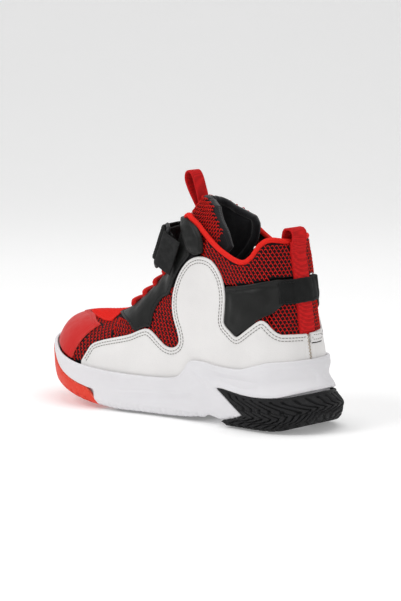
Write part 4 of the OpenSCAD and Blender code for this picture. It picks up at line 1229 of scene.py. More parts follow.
for s in (NEAR, FAR):
    name = NAMES[s]
    low = [(6.8, 135.4), (11.4, 127), (18.6, 118), (24.6, 112.9), (30, 112.6)]
    top = [(18.6, 136.3), (25.8, 133.2), (32.4, 127), (35.6, 120.6), (35.6, 114.8)]
    k = spline(low, 30), spline(top, 30)
    t = np.concatenate([[0, .01, .03, .06], np.linspace(0.1, 0.9, 40), [.94, .97, .99, 1]])[:, None, None]
    q = k[0][None] * (1 - t) + k[1][None] * t
    q = q[:, np.unique(np.concatenate([[0, 1, 2], np.arange(3, 118), [118, 119, 120]]))]
    x, z = q[..., 0], q[..., 1]
    p = on_side(x, z, s)
    left, right, down, up, d = borders(p)
    across = down / (down + up)
    fold = 0.22 * np.sin(left * 0.75 + 2.2 * across) * np.sin(np.pi * across)
    h = 0.25 + 3.3 * bead(d, 2.7) + fold * bead(d, 3)
    roll = shell("collar_roll_" + name + "_pad", p + normal(p) * h[..., None], p + normal(p) * 0.2,
                 "black_leather", edge=d, replaces=["collar_roll_" + name])
    cloth_pad(roll, 3.0, 0.0008)


def band(name, path, side, width, thick, material, across=48, relief=None, taper=None, **kw):
    """Flat woven band or strap: path and side are (k, 3) arrays, relief(along, across) adds a weave."""
    path, side = np.asarray(path, float), np.broadcast_to(np.asarray(side, float), np.shape(path))
    t = unit(np.gradient(path, axis=0))
    n = unit(np.cross(t, side))
    run = running(path)
    c = (spread(across, width, thick * 0.5) - 0.5) * width
    c = np.broadcast_to(c[None, :], (len(path), len(c)))
    if taper is not None:
        c = c * taper(run)[:, None]
    end = np.minimum(run, run[-1] - run)[:, None]
    d = np.minimum(np.minimum(c - c[:, :1], c[:, -1:] - c), end)
    body = thick / 2 * bead(d, thick * 0.55)
    base = path[:, None] + c[..., None] * side[:, None]
    r = 0 if relief is None else relief(run[:, None], c)
    rise = n[:, None] * (body + r * bead(d, thick * 0.8))[..., None]
    return shell(name, base + rise, base - rise, material, edge=d, **kw)


def evenly(points, gap, k=24):
    return resample(spline(points, k), gap, closed=False)


def along_path(path):
    """Adds closely spaced points at both ends so that they round off."""
    run = running(path)
    extra = np.array([0, 0.05, 0.15, 0.3, 0.5, 0.75])
    at = np.unique(np.concatenate([extra, run[(run > 0.9) & (run < run[-1] - 0.9)], run[-1] - extra]))
    return at_run(path, run, at)


WEBBING_WIDTH = 15


def cross_ribs(along, across):
    """Webbing with ribs across it and a slightly thicker selvedge."""
    rib = 0.16 * np.abs(np.sin(np.pi * along / 2.3)) ** 0.7
    threads = 0.04 * np.sin(2 * np.pi * across / 0.8)
    return rib + threads + 0.10 * np.exp(-((np.abs(across) - 6.6) / 0.45) ** 2)


def long_ribs(along, across):
    """Webbing with ribs along it and fine cross threads."""
    return 0.15 * np.abs(np.sin(np.pi * across / 1.25)) ** 0.7 + 0.04 * np.sin(2 * np.pi * along / 0.9)


def heel_at(y, z):
    """Point of the form's back that is y from the middle at height z."""
    u = np.linspace(0.5, 1, 700)
    out = []
    for h, w in zip(z, y):
        s = -1 if w < 0 else 1
        line = ring(s * u, h)
        out.append(ring(s * np.interp(-abs(w), -np.abs(line[:, 1]), u), h))
    return np.array(out)


zs = np.unique(np.concatenate([[61, 61.1, 61.3, 61.6, 62], np.arange(62.4, 124, 0.24),
                               [124.1, 124.4, 124.6]]))
cs = (spread(30, WEBBING_WIDTH, 0.7) - 0.5) * WEBBING_WIDTH
grid = np.stack([heel_at(np.full(len(zs), c), zs) for c in cs], 1)
d = borders(grid)[-1]
h = -0.2 + 1.45 * bead(d, 0.6) + cross_ribs(zs[:, None] * 1.02, cs[None, :]) * bead(d, 0.8)
h = mix(0.1, h, step(zs, 63.9, 65.2)[:, None])
h = h + 1.5 * step(zs, 116, 122)[:, None]
n = normal(grid)
base = -0.25 + 1.5 * step(zs, 116, 122)[:, None] + 0 * d
shell("heel_webbing_weave", grid + n * h[..., None], grid + n * base[..., None], "red_webbing", edge=d,
      replaces=["heel_webbing"])

x0 = float(back_x(122)) + 1.4
loop = [(x0 + .5, 0, 123.4), (x0 + .8, 0, 127), (x0 + .6, 0, 130.4), (x0 - 1.4, 0, 132.6),
        (x0 - 5.4, 0, 132.8), (x0 - 7.4, 0, 131), (x0 - 8.2, 0, 127), (x0 - 8.6, 0, 123.8)]
loop = band("heel_loop_webbing", along_path(evenly(loop, 0.24)), (0, 1, 0), 14.6, 1.35, "red_webbing",
            across=60, relief=cross_ribs, body=None, replaces=["heel_pull_loop"])
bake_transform(loop)

close = np.array([.0003, .0009, .002])
a = np.unique(np.concatenate([np.linspace(-0.868, -1.132, 130), -0.868 - close, -1.132 + close]))[::-1]
zb = 84 + spread(26, 16.3, 0.8) * 16.3
p = ring(a[None, :] + 0 * zb[:, None], zb[:, None] + 0 * a[None, :])


def heel_band_relief(p, d):
    wave = 0.07 * np.sin(p[..., 1] * 0.7 + p[..., 2] * 0.25)
    return groove(d, 1.9, 0.4, 0.16) + 0.12 * step(d, 2, 6) + wave


over_webbing = step(9.5 - np.abs(p[..., 1]), 0, 1.8)
over_leather = step(94.2 - p[..., 0], -0.4, 1.4)
stand_off = mix(0.3, 1.35, np.maximum(over_webbing, over_leather))
skin("heel_band_strap", p, stand_off, 1.15, "strap_cloth", r=0.8, relief=heel_band_relief,
     replaces=["heel_band"])
rows = [np.abs(zb - z).argmin() for z in (86, 98.3)]
stitch_rows = [(p + normal(p) * (stand_off - 0.3)[..., None])[row, 6:-6] for row in rows]
stitches("heel_band_stitching", stitch_rows, normal, "black_thread", height=1.5, pitch=2.5, radius=0.2)

flap = [(0.3, 63.6), (14.4, 63.6), (15.3, 62.6), (15.2, 59), (14.3, 57.3), (12.6, 56.9), (0.3, 56.9)]
flap = side_patch(np.array([(-b, z) for b, z in flap]), FAR)
flap.build("heel_flap_leather", 1.45, 1.0, "white_leather", r=0.7, rings=(1.0, 1.5, 1.9, 2.3, 3.0),
           step_mm=1.0, relief=lambda p, d: groove(d, 1.9, 0.35, 0.2), replaces=["heel_panel"])
stitches("heel_flap_stitching", [flap.inset(1.9)], normal, "grey_thread", height=2.25, pitch=2.35,
         length=1.75, radius=0.24)
# Painted shade: a thin strip of black leather along the flap's lower edge stands in for the shadow under that
# edge.
edge_band = flap.p[(flap.p[:, 2] < 57.6) & (np.abs(flap.p[:, 1]) > 0.4)]
edge_band = edge_band[np.argsort(edge_band[:, 1])]
swept("heel_flap_shadow_strip", edge_band + normal(edge_band) * 1.6 - [0, 0, 0.25], 0.42, "black_leather", sides=10)
zz = np.arange(46.4, 63.0, 0.15)
zigzag = heel_chart(-1.05 + 0.95 * np.arcsin(np.sin(zz * 2.9)) * 2 / np.pi, zz)
swept("heel_seam_thread", zigzag + 1.45 * normal(zigzag), 0.24, "beige_thread", sides=8)


# ---------------------------------------------------------------- sole
def carried(path):
    """Sideways direction along a path that turns as little as possible."""
    t = unit(np.gradient(path, axis=0))
    u = np.cross(t[0], [0.3, 1, 0.2])
    out = []
    for v in t:
        u = unit(u - (u @ v) * v)
        out.append(u)
    return np.array(out)


def grid_normal(p, outward):
    n = unit(np.cross(np.gradient(p, axis=1), np.gradient(p, axis=0)))
    return n if (n * outward).sum() > 0 else -n


def loft(name, rings, material, edge=None, **kw):
    """Closed solid through rings (k, n, 3) whose points i and n - i face each other."""
    k, n = rings.shape[:2]
    verts = rings.reshape(-1, 3)
    j = np.arange(1, n // 2 - 1)
    quads = np.stack([j, j + 1, n - j - 1, n - j], -1)
    ends = np.array([(0, 1, n - 1), (n // 2 - 1, n // 2, n // 2 + 1)])
    last = (k - 1) * n
    faces = [grid_faces(k, n, wrap=True)[:, ::-1], quads, ends, quads[:, ::-1] + last, ends[:, ::-1] + last]
    return make(name, verts, faces, material, edge=edge, turn=volume(verts, faces) < 0, **kw)


def round_sole(n):
    """n places round the sole from 0 to 2, with each one's share of the way to the back and its side."""
    a = np.arange(n) * 2 / n
    return a, np.where(a <= 1, a, 2 - a), np.where(a <= 1, -1, 1)


def swing(front, back, u):
    """x between front and back, close together at both ends."""
    return mix(front, back, (1 - np.cos(np.pi * u)) / 2)


def sole_w(x, near, f, b):
    return np.where(near, sole_near(x), sole_far(x)) * ease(x - f, 50, 2.2) * ease(b - x, 40, 2.3)


def sole_pt(a, d):
    """x, y of the sole's outline: a from 0 (front) by the near side over 1 (back) to 2, pushed in by d."""
    a, d = np.broadcast_arrays(np.asarray(a, float) % 2, np.asarray(d, float))
    u, near = np.where(a <= 1, a, 2 - a), a <= 1
    f, b = SOLE_FRONT + d, SOLE_BACK - d
    x = swing(f, b, u)
    w = sole_w(x, near, f, b)
    return np.stack([x, np.where(near, -1, 1) * np.maximum(w * 0.35, w - d * np.minimum(1, w / 12))], -1)


heel_top = curve([(44, 24.4), (50, 24.8), (58, 24.6), (78, 22.3), (100, 22.8), (112, 25.2), (121, 27.5)])
toe_top = curve([(-123, 41), (-112, 37.5), (-98, 29), (-88, 22.5), (-74, 17), (-60, 13.5), (-50, 12)])


SIDES = 640
ring_n, ring_u, ring_s = round_sole(SIDES)


def rubber_edge(z, x):
    """How far along (in u) the heel rubber's front edge lies at height z: two points with a notch between."""
    h = (z - ground(x)) / (heel_top(x) - ground(x))
    return np.interp(h, [0, 0.10, 0.26, 0.40, 1.0, 1.1], [0.664, 0.652, 0.690, 0.712, 0.640, 0.634])


def under_rubber(u, x, z):
    """1 where rubber lies over the foam, 0 elsewhere, with a short slope between."""
    heel = step(u, rubber_edge(z, x) - 0.002, rubber_edge(z, x) + 0.004) * step(heel_top(x) - z, -0.6, 0.5)
    toe = step(0.352 - u, -0.003, 0.003) * step(toe_top(x) - z, -0.6, 0.5)
    return np.maximum(heel, toe)


def form_edge(u, s, z, d):
    """Point of the form at ring position u and height z, moved out level by d."""
    p = ring(s * np.clip(u, 1e-6, 1), z)
    n = normal(p)
    n[..., 2] = 0
    return p + unit(n) * np.asarray(d)[..., None]


def sole_shape(x, z):
    """Moulded shapes of the foam wall, in millimetres outwards."""
    lo, hi = heel_top(x) + 2.5, lip(x) - 3.6
    t = np.clip((z - lo) / np.maximum(hi - lo, 1), 0, 1)
    scoop = -3.0 * np.sin(np.pi * t ** 1.25) ** 0.9 * step(x, 40, 62)
    ridge = np.abs((x - 34) * 0.68 + (z - 36) * 0.73)
    along = (x - 34) * 0.73 - (z - 36) * 0.68
    rib = 1.3 * np.exp(-(ridge / 3.2) ** 2) * step(along, -2, 4) * (1 - step(along, 18, 28))
    rear_end = 1 - step(x, 10, 26)
    dish = -1.6 * np.exp(-((z - 10 - 0.10 * (x + 20)) / 3.4) ** 2) * step(x, -50, -12) * (1 - step(x, 24, 38))
    crease = -0.35 * np.exp(-((z - 15.5 - 0.06 * (x + 20)) / 0.8) ** 2) * step(x, -40, -10) * rear_end
    ledge = -0.7 * (1 - step(z, 4.4, 5.8)) * (np.sin(x * 2 * np.pi / 4.6) > 0.25) * step(x, -78, -70) \
        * (1 - step(x, 40, 44))
    return scoop + rib + dish + crease + ledge


def midsole_rings():
    base = sole_pt(ring_n, 1.0)
    g, top, floor_z = ground(base[:, 0]), lip(base[:, 0]), bed(np.clip(base[:, 0], TOE, BED_BACK))
    rings, edge = [], []
    for d, h in ((14, 3.4), (8, 3.4), (5.2, 3.45)):
        xy = sole_pt(ring_n, d + 3.2 * under_rubber(ring_u, base[:, 0], g + 1))
        rings.append(np.column_stack([xy, g + h]))
        edge.append(np.full(SIDES, NO_EDGE))
    rim = 3.1 * step(base[:, 0], -78, -66) * (1 - step(base[:, 0], 38, 44))
    for v in np.concatenate([[0, 0.012, 0.03, 0.06], np.linspace(0.1, 0.93, 50)]):
        z = mix(g + 3.6 - rim, top, v)
        d = np.interp(v, [0, .012, .03, .06, .12, .3, .45, .6, .75, 1],
                      [3.6, 2.9, 2.4, 1.9, 1.3, 0.9, 0.8, 0.8, 1.0, 1.6])
        d = d - sole_shape(base[:, 0], z)
        d = d + 3.2 * under_rubber(ring_u, base[:, 0], z)
        back = step(base[:, 0], 88, 120)
        d = d + back * 4.2 * step(z, 12, 28)
        xy = sole_pt(ring_n, d)
        out = form_edge(ring_u, ring_s, z, 4.25 + 0 * z)[:, :2]
        xy = mix(xy, out, step(v, 0.66, 0.96))
        rings.append(np.column_stack([xy, z]))
        edge.append(np.full(SIDES, NO_EDGE))
    turn = np.radians(np.linspace(-10, 170, 12))
    for w in turn:
        z = top - 1.0 + 1.15 * np.sin(w)
        rings.append(form_edge(ring_u, ring_s, z, 3.2 + 1.15 * np.cos(w) + 0 * z))
        edge.append(np.full(SIDES, 1.0))
    for z, d in ((top - 2, 2.0), (mix(top, floor_z, 0.6), 1.9), (floor_z + 2.5, 1.7), (floor_z + 0.6, 0.4),
                 (floor_z, -0.8)):
        rings.append(form_edge(ring_u, ring_s, z, d + 0 * z))
        edge.append(np.full(SIDES, NO_EDGE))
    return np.array(rings), np.concatenate(edge)


rings, edge = midsole_rings()
loft("midsole_foam", rings, "white_foam", edge=edge, replaces=["midsole"])


def lightning(s, h):
    """Grooves that zigzag up the rubber: depth at arc s and height h."""
    shift = 1.25 * np.interp(h, [-20, -14, -9, -4.5, 0, 4.4, 7.6, 12.2, 15.0, 19.6, 24],
                             [0, 3, -1, 3, 0, 3.6, -0.6, 3.6, -0.4, 3.4, 0])
    d = np.abs((s + shift) % 7.0 - 3.5)
    cross = np.interp(h, [3.4, 5.6, 6.6, 8.8, 11.2, 13.0, 14.2, 16], [0, 1, 1, 0, 0, 1, 1, 0])
    link = np.abs((s - shift * 0.6 + 1.5) % 7.0 - 3.5)
    return -1.7 * np.exp(-(d / 0.95) ** 4) - 1.1 * cross * np.exp(-(link / 0.8) ** 4)


RUBBER_THICK = 2.7


def rubber_shell(name, p, relief, replaces, material):
    """Wrapped rubber on a grid of outer points: rows from underneath up the wall, columns round the sole."""
    n = grid_normal(p, p - p.mean((0, 1)))
    left, right, down, up, d = borders(p)
    h = -0.8 * (1 - bead(d, 0.9)) + relief(p, np.minimum(left, right), down, up)
    return shell(name, p + n * h[..., None], p - n * RUBBER_THICK, material, edge=d, replaces=replaces)


def rubber_rows(spec, starts, n):
    """Grid of outer points: each row's inset and height over x are in spec, its two ends in starts."""
    out = []
    for (inset, z), start in zip(spec, starts):
        lo, hi = start
        a = lo + (hi - lo) * spread(n, 200, 0.9)
        xy = sole_pt(a, inset(a) if callable(inset) else inset)
        out.append(np.column_stack([xy, z(xy[:, 0])]))
    return np.array(out)


HEEL_FLAT = (22, 20, 18, 16, 14, 12, 10, 8, 6.5, 5, 4)
HEEL_ROUNDING = ((3.2, 0.15), (2.4, 0.6), (1.8, 1.2))


def heel_rubber():
    spec, starts = [], []
    for d in HEEL_FLAT:
        spec.append((d, lambda x: ground(x) + 0.02))
        starts.append((0.664, 1.336))
    for d, h in HEEL_ROUNDING:
        spec.append((d, lambda x, h=h: ground(x) + h))
        starts.append((0.662, 1.338))
    for v in np.linspace(0.10, 1, 46):
        def inset(a, v=v):
            x = sole_pt(a, 1.0)[:, 0]
            return np.interp(v, [0.1, 0.2, 0.45, 0.7, 1], [1.4, 0.8, 0.1, 0.15, 0.6]) \
                + 4.2 * step(x, 88, 120) * step(v, 0.45, 1.05)
        edge_u = float(np.interp(v, [0.10, 0.26, 0.40, 1.0], [0.652, 0.690, 0.712, 0.640]))
        spec.append((inset, lambda x, v=v: mix(ground(x), heel_top(x), v)))
        starts.append((edge_u, 2 - edge_u))
    return rubber_rows(spec, starts, 420)


def heel_relief(p, side, down, up):
    mask = step(up, 2.2, 2.9) * step(side, 3.2, 4.4)
    arc = lengths(p, 1)[0]
    wall = len(HEEL_FLAT) + len(HEEL_ROUNDING)
    height = np.where(p[..., 2] > ground(p[..., 0]) + 1, p[..., 2], down - down[wall:wall + 1])
    lugs = lightning(arc, height) * mask
    return lugs + groove(up, 1.9, 0.35, 0.3) * step(side, 2, 4)


rubber_shell("heel_outsole_rubber", heel_rubber(), heel_relief, ["heel_outsole"], "black_rubber")


def toe_rubber():
    spec, starts = [], []
    for d in (20, 17, 14, 11, 8, 6, 4.5):
        spec.append((d, lambda x: ground(x) + 0.02))
        starts.append((-0.345, 0.345))
    for d, h in ((3.4, 0.3), (2.4, 1.0), (1.7, 1.9)):
        spec.append((d, lambda x, h=h: ground(x) + h))
        starts.append((-0.362, 0.362))
    for v in np.linspace(0.16, 1, 26):
        edge_u = float(np.interp(v, [0.16, 0.5, 0.9, 1], [0.361, 0.354, 0.341, 0.336]))
        d = float(np.interp(v, [0.16, 0.4, 1], [1.3, 0.8, 0.4]))
        spec.append((d, lambda x, v=v: mix(ground(x) + 1, toe_top(x), v)))
        starts.append((-edge_u, edge_u))
    return rubber_rows(spec, starts, 300)


def toe_relief(p, side, down, up):
    arc = lengths(p, 1)[0]
    notch = np.exp(-((arc % 7.2 - 3.6) / 0.8) ** 4) * (1 - step(p[..., 2] - ground(p[..., 0]), 3.0, 4.2))
    return -1.3 * notch * step(side, 4, 6) * step(down, 3, 5) + groove(up, 2.2, 0.5, 0.22)


rubber_shell("toe_outsole_rubber", toe_rubber(), toe_relief, ["toe_outsole"], "red_rubber")


def tread_ring(d, h, n=300):
    _, u, s = round_sole(n)
    x = swing(-46 + d, 34 - d, u)
    w = np.where(s < 0, sole_near(x), sole_far(x)) - 7 - d
    w = w * ease(x + 46 - d, 12, 3) * ease(34 - d - x, 12, 3)
    lug = (np.sin(x * 2 * np.pi / 9.2) > 0.55) * (h < 2.4) * (h > 0.1)
    y = s * (w + 3.0 * lug * step(w, 20, 25))
    return np.column_stack([x, y, ground(x) + h])


TREAD_RINGS = [(14, 1.2), (9, 1.2), (8, 1.2), (7.6, 0.9), (7.6, 0.3), (7, 0.0), (2, 0.0), (.6, .12), (.1, .5),
               (0, 1.1), (0, 2.3), (0, 2.6), (.8, 2.9), (6, 2.9)]
rings = [tread_ring(d, h) for d, h in TREAD_RINGS]
loft("forefoot_tread_rubber", np.array(rings), "black_rubber", replaces=["forefoot_outsole"])

# the insole, padded, with a raised rim
_, u_u, u_s = round_sole(400)
x_n = swing(TOE, BED_BACK, u_u)
rings = []
for d, h in ((9, 2.2), (6, 2.2), (5.2, 2.6), (5, 3.4), (5, 5.0), (5.3, 6.0), (6, 6.5), (7, 6.6), (8.2, 6.3),
             (9.4, 5.7), (12, 5.4), (18, 5.3)):
    rings.append(form_edge(u_u, u_s, bed(x_n) + h, -d * np.minimum(1, 0.35 + 0.65 * ease(x_n - TOE, 30, 2)
                                                                   * ease(BED_BACK - x_n, 30, 2))))
insole = loft("insole_cushion", np.array(rings), "lining", replaces=["sockliner"])


# ---------------------------------------------------------------- tongue
near_edge = curve([(120, 0.56), (130, 0.515), (141, 0.43), (151, 0.344), (156, 0.33)])
far_edge = curve([(120, 0.46), (130, 0.465), (139, 0.43), (156, 0.4)])
tongue_top = curve([(-1, 147), (-0.8, 151.3), (-0.5, 153.4), (0, 153), (0.5, 148.5), (0.8, 142.5),
                    (1, 136.5)])


def throat_a(w, z, s):
    u = np.linspace(1e-6, 0.5, 600)
    return np.array([np.interp(ww, np.abs(ring(s * u, h)[:, 1]), u) for ww, h in zip(w, z)])


tongue_z = np.arange(66.0, 158.0, 1.0)
half = {s: throat_a(mix(21, 27, np.minimum(1, (tongue_z - 66) / 22)), np.minimum(tongue_z, 88), s)
        for s in (NEAR, FAR)}


def tongue_a(c, z):
    w = np.clip((z - 88) / 32, 0, 1) ** 0.8
    near = mix(np.interp(z, tongue_z, half[NEAR]), near_edge(np.maximum(z, 120)), w)
    far = mix(np.interp(z, tongue_z, half[FAR]), far_edge(np.maximum(z, 120)), w)
    return c * np.where(c < 0, near, far)


def tongue_deep(c, z):
    side = 1.7 + 4.3 * np.clip((np.abs(c) - 0.25) / 0.45, 0, 1) ** 1.5
    low = np.interp(z, [99, 108, 115, 122, 128, 134], [5.6, 5.0, 3.2, 2.0, 1.7, 1.7])
    return np.maximum(side, low) + 3.4 * step(z, 135, 152)


def tongue_thick(z):
    return mix(4.9, 6.5, step(z, 122, 142))


c = np.tanh(np.linspace(-2.2, 2.2, 110)) / np.tanh(2.2)
t = spread(120, 87, 3.2)
top_line = tongue_top(c)
z = 67 + (top_line[None, :] - 67) * t[:, None]
p = ring(tongue_a(c[None, :] + 0 * z, z), z)
n = normal(p)
left, right = lengths(p, 1)
down, up = lengths(p, 0)
d = np.minimum(np.minimum(left, right), np.minimum(down, up * 1.15))
thick = tongue_thick(z)
round_off = bead(d, 3.3)
mid = p - n * (tongue_deep(c[None, :], z) + thick / 2)[..., None]
rim = np.exp(-((d - 6.6) / 1.5) ** 2) * step(z, 96, 112)
pillow = 0.9 * step(d, 8, 18) * step(z, 110, 128)
waves = 0.18 * np.sin(z * 0.23 + c[None, :] * 3.1)
outer = mid + n * (thick / 2 * round_off + waves * bead(d, 9))[..., None]
inner = mid - n * (thick / 2 * round_off + (pillow - rim) * bead(d, 6) + waves * bead(d, 9))[..., None]
rows, cols = z.shape
outside_rim = d[:-1, :-1] > 2.6
index = np.concatenate([np.where(outside_rim, 0, 1).ravel(), np.ones((rows - 1) * (cols - 1), int),
                        np.ones(2 * (rows + cols) - 4, int)])
tongue = shell("tongue_pad", outer, inner, ["knit_ground", "lining"], edge=d, body=None, index=index,
               replaces=["tongue_base", "tongue_base_lining", "tongue_knit", "tongue_foam", "tongue_lining"])
tongue_arc = []
chart_c = np.linspace(-1, 1, 241)
for h in tongue_z:
    line = ring(tongue_a(chart_c, np.full(241, h)), np.full(241, h))
    run = running(line)
    tongue_arc.append(run - np.interp(0, chart_c, run))
tongue_arc = np.array(tongue_arc)


def tongue_c(u, z):
    """Tongue coordinate c of a point at arc u from the middle."""
    i = np.clip(np.round(z - tongue_z[0]).astype(int), 0, len(tongue_z) - 1)
    out = np.empty(np.shape(u))
    for k in np.unique(i):
        out[i == k] = np.interp(u[i == k], tongue_arc[k], chart_c)
    return out


def tongue_chart(u, z):
    u, z = np.broadcast_arrays(np.asarray(u, float), np.asarray(z, float))
    cc = tongue_c(u, z)
    q = ring(tongue_a(cc, z), z)
    return q - normal(q) * tongue_deep(cc, z)[..., None]


def tongue_hooks():
    rng = np.random.default_rng(8)
    pitch = np.array([2.7, 2.5])
    rows_z = np.arange(103, 152, pitch[1])
    u, v = np.meshgrid(np.arange(-60, 60, pitch[0]), rows_z)
    u = u + (np.arange(len(rows_z)) % 2)[:, None] * pitch[0] / 2
    q = np.stack([u.ravel(), v.ravel()], -1)
    q += rng.normal(0, 0.08, q.shape)
    cc = tongue_c(q[:, 0], q[:, 1])
    side = np.minimum(q[:, 0] - np.array([np.interp(h, tongue_z, tongue_arc[:, 0]) for h in q[:, 1]]),
                      np.array([np.interp(h, tongue_z, tongue_arc[:, -1]) for h in q[:, 1]]) - q[:, 0])
    q = q[(side > 2.6) & (q[:, 1] < tongue_top(cc) - 2.0)]
    fine = spline(HOOK, 2)
    line = q[:, None] + fine[None, :, :2] * pitch * 1.05 * (1 + rng.normal(0, 0.06, (len(q), 1, 1)))
    pts = tongue_chart(line[..., 0], line[..., 1])
    nn = normal(pts)
    h = 0.45 + fine[:, 2] * 0.42
    return tubes("tongue_loops", pts + nn * h[None, :, None], 0.3, nn, "red_yarn", sides=8, body=None)


loops = tongue_hooks()
cloth_pad(tongue, 2.5, 0.0004, voxel=0.0024)
for piece in (tongue, loops):
    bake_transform(piece)

loop = [(9.8, -2, 140), (6.6, -2, 145), (1.8, -2, 152.5), (-1.4, -2, 159.5), (-0.9, -2, 164.4),
        (2.2, -2, 165.6), (5.1, -2, 162.4), (7.6, -2, 156), (9.9, -2, 149), (11.6, -2, 141)]
loop = band("tongue_loop_webbing", along_path(evenly(loop, 0.4)), (0, 1, 0), 11, 1.3, "red_webbing",
            across=48, relief=long_ribs, body=None, replaces=["tongue_pull_loop"])
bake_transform(loop)


# ---------------------------------------------------------------- elastic lace
def lace_path():
    def start(s, z):
        e = eyelet(s, z)
        return e - 3.3 * normal(e) + [1.5, 3.6 * s, 0.5]

    points = [start(-1, LACE_ROWS[0])]
    for i, z in enumerate(LACE_ROWS):
        s = -1 if i % 2 == 0 else 1
        e, f = eyelet(s, z), eyelet(-s, z)
        n, m = normal(e), normal(f)
        top = ring(0.0, z + 1.5)
        tn = normal(top)
        points += [e - 3 * n, e - 0.8 * n, e + 1.8 * n, e + 3.7 * n + [0, -2.2 * s, 0.6],
                   mix(e, top, 0.6) + [-2.2, 0, 3.4], top + 3.2 * tn, mix(f, top, 0.6) + [-2.2, 0, 3.4],
                   f + 3.7 * m + [0, 2.2 * s, 0.6], f + 1.8 * m, f - 0.8 * m, f - 3 * m]
    points.append(start(-1, LACE_ROWS[3]))
    return resample(spline(points, 12), 0.3, closed=False)


def braid(along, around):
    """Crossing strands of a round elastic braid."""
    return 0.13 * np.maximum(np.sin(along * 2.6 + around * 3), np.sin(along * 2.6 - around * 3)) - 0.08


path = lace_path()
swept("elastic_lace_braid", path, 2.0, "red_lace", sides=24, up=carried(path), relief=braid,
      replaces=["elastic_lace"])

# ---------------------------------------------------------------- ankle strap
STRAP_UP = unit(np.array([0.377, 0, 0.926]))
STRAP_BACK = np.array([STRAP_UP[2], 0, -STRAP_UP[0]])
STRAP_MID = np.array([-14.0, 0, 118.5])
STRAP_WIDTH, STRAP_THICK, TAB_THICK = 25, 1.8, 1.4
PATCH_WIDTH, PATCH_THICK = 20, 0.9


def strap_path(points, gap=0.5):
    q = evenly(points, gap)
    return along_path(STRAP_MID + q[:, :1] * [0, 1, 0] + q[:, 1:] * STRAP_BACK)


def strap_weave(along, across):
    """Coated cloth with a bound edge and shallow bends."""
    rim = STRAP_WIDTH / 2 - np.abs(across)
    slant = 0.05 * np.sin(across * 0.5 + along * 0.21)
    return groove(rim, 2.0, 0.4, 0.16) + 0.06 * np.sin(along * 0.8) + slant


def pile(along, across):
    return 0.16 * np.abs(np.sin(along * 2.3) * np.sin(across * 2.3 + 0.4))


STRAP = [(33, 38), (32.8, 30), (30.5, 21), (26, 12.5), (19, 7.2), (10, 4.8), (0, 4.2), (-10, 4.8), (-18, 6.2),
         (-21.6, 6.5), (-24, 5.6), (-24.5, 3.6), (-22.9, 1.8)]
TIP = [(-23.9, 3.2), (-22.8, 1.9), (-20.6, 1.3), (-14, 0.6), (-6, -0.1), (2, -0.3), (10, 0.1), (16, 1.6),
       (20, 4)]
band("ankle_strap_cloth", strap_path(STRAP), STRAP_UP, STRAP_WIDTH, STRAP_THICK, "strap_cloth",
     relief=strap_weave, replaces=["ankle_strap"])
tip = band("strap_tip_cloth", strap_path(TIP), STRAP_UP, STRAP_WIDTH, STRAP_THICK, "strap_cloth",
           relief=strap_weave, body=None, replaces=["strap_tip"])
fold = [(STRAP_MID + [0, y, 0] + q * STRAP_BACK) * MM for y, q in ((-23.5, 2.6), (-19.8, 1.2))]
tuple(fold[0])
tuple(fold[1])
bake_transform(tip)
band("hook_patch_pile", strap_path([(-9, 1.75), (-6, 1.5), (2, 1.3), (10, 1.7), (15, 2.9)], 0.35), STRAP_UP,
     PATCH_WIDTH, PATCH_THICK, "hooks", relief=pile, body="strap_end", replaces=["hook_patch"])
band("loop_patch_pile", strap_path([(-10, 3.1), (-5, 2.75), (0, 2.6), (8, 2.9), (14, 3.9)], 0.35), STRAP_UP,
     PATCH_WIDTH, PATCH_THICK, "hooks", relief=pile, replaces=["loop_patch"])
TAB = [(-31.7, 27), (-31.3, 21), (-30.7, 15.5), (-30.3, 12), (-29.5, 10), (-28, 9.3), (-26.4, 10),
       (-25.8, 11.6), (-26.4, 13.4), (-27.6, 16.5)]
band("ring_tab_cloth", strap_path(TAB, 0.4), STRAP_UP, STRAP_WIDTH, TAB_THICK, "strap_cloth",
     relief=strap_weave, replaces=["ring_tab"])


def strap_stitches(name, points, rows, body):
    """Rows of stitches along the strap, on its front face."""
    path = strap_path(points, 0.3)
    t = unit(np.gradient(path, axis=0))
    n = unit(np.cross(t, np.broadcast_to(STRAP_UP, t.shape)))
    n = n * np.sign((n * (-STRAP_BACK)).sum(-1, keepdims=True).mean())
    lines = [path + STRAP_UP * w + n * 0.85 for w in rows]
    field = np.concatenate(lines)
    face = np.tile(n, (len(rows), 1))

    def facing(p):
        out = []
        for row in p.reshape(-1, 3):
            out.append(face[((field - row) ** 2).sum(-1).argmin()])
        return np.array(out).reshape(p.shape)

    return stitches(name, lines, facing, "black_thread", height=0.0, pitch=2.4, length=1.7, radius=0.2,
                    body=body)


strap_stitches("strap_tip_stitching", TIP, (10.6, -10.6), "strap_end")


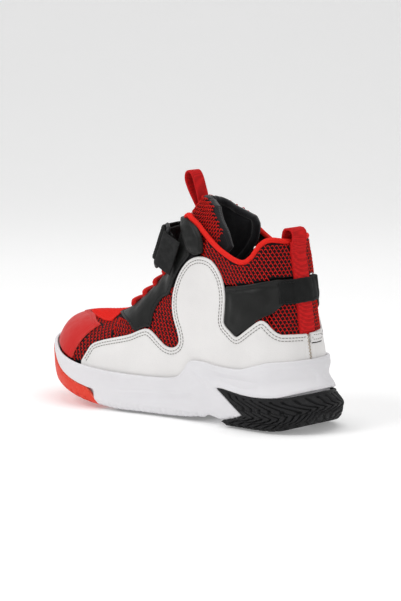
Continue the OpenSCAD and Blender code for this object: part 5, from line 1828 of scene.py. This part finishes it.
def ring_bar():
    """Rounded rectangle of moulded bar that the strap turns back through."""
    front, rear = np.array([-22, 4.0]), np.array([-28, 11.5])
    h, r = STRAP_WIDTH / 2 + 2.4, 2.6
    mid, reach = (front + rear) / 2, (rear - front) / 2
    l = np.linalg.norm(reach)
    way = reach / l
    corner = []
    for i, (sx, sy) in enumerate(((1, 1), (-1, 1), (-1, -1), (1, -1))):
        for w in np.radians(90 * i + np.linspace(0, 90, 9)):
            corner.append([sx * (l - r) + r * np.cos(w), sy * (h - r) + r * np.sin(w)])
    corner = resample(np.array(corner), 0.5)
    q = mid + way * corner[:, :1]
    return STRAP_MID + q[:, :1] * [0, 1, 0] + q[:, 1:] * STRAP_BACK + corner[:, 1:] * STRAP_UP


path = ring_bar()
t = unit(np.roll(path, -1, 0) - np.roll(path, 1, 0))
u = unit(np.cross(t, np.cross(STRAP_UP, path[0] - path.mean(0)) + 0 * t))
v = np.cross(t, u)
BAR_SIDES = 20
w = np.arange(BAR_SIDES) * 2 * np.pi / BAR_SIDES
r = 1.3 * (1 + 0.05 * np.cos(4 * w)) - 0.05 * np.exp(-((np.sin(w)) / 0.12) ** 2)
bar = path[:, None] + r[None, :, None] * spokes(w, u, v)
k = len(path)
i, j = np.meshgrid(np.arange(k) * BAR_SIDES, np.arange(BAR_SIDES), indexing="ij")
i_next, j_next = np.roll(i, -1, 0), np.roll(j, -1, 1)
quads = np.stack([i + j, i + j_next, i_next + j_next, i_next + j], -1).reshape(-1, 4)
bar = bar.reshape(-1, 3)
make("strap_ring_bar", bar, [quads], "plastic", turn=volume(bar, [quads]) < 0, replaces=["strap_ring"])

# ---------------------------------------------------------------- hidden stiffeners keep their CAD shapes
for name, material in (("lasting_board", "board"), ("toe_puff", "stiffener"), ("heel_counter", "stiffener")):
    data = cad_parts[name].data
    data.materials.clear()
    data.materials.append(M[material])


# ---------------------------------------------------------------- floor
def make_floor():
    """Pale floor that curves up into a backdrop behind the object."""
    path = spline([(-3.2, 0), (-1, 0), (0.6, 0), (1.6, 0.02), (2.3, 0.35), (2.7, 1.1), (2.8, 2.4),
                   (2.8, 3.2)], 8)
    across = np.linspace(-3.5, 3.5, 12)
    a = math.radians(VIEW_AZIMUTH)
    view, side = np.array([-math.sin(a), math.cos(a)]), np.array([math.cos(a), math.sin(a)])
    p = np.array([[[*(view * d + side * w), h] for w in across] for d, h in path]) / MM
    obj = make("floor", p.reshape(-1, 3), [grid_faces(*p.shape[:2])], "floor", body=None)


make_floor()
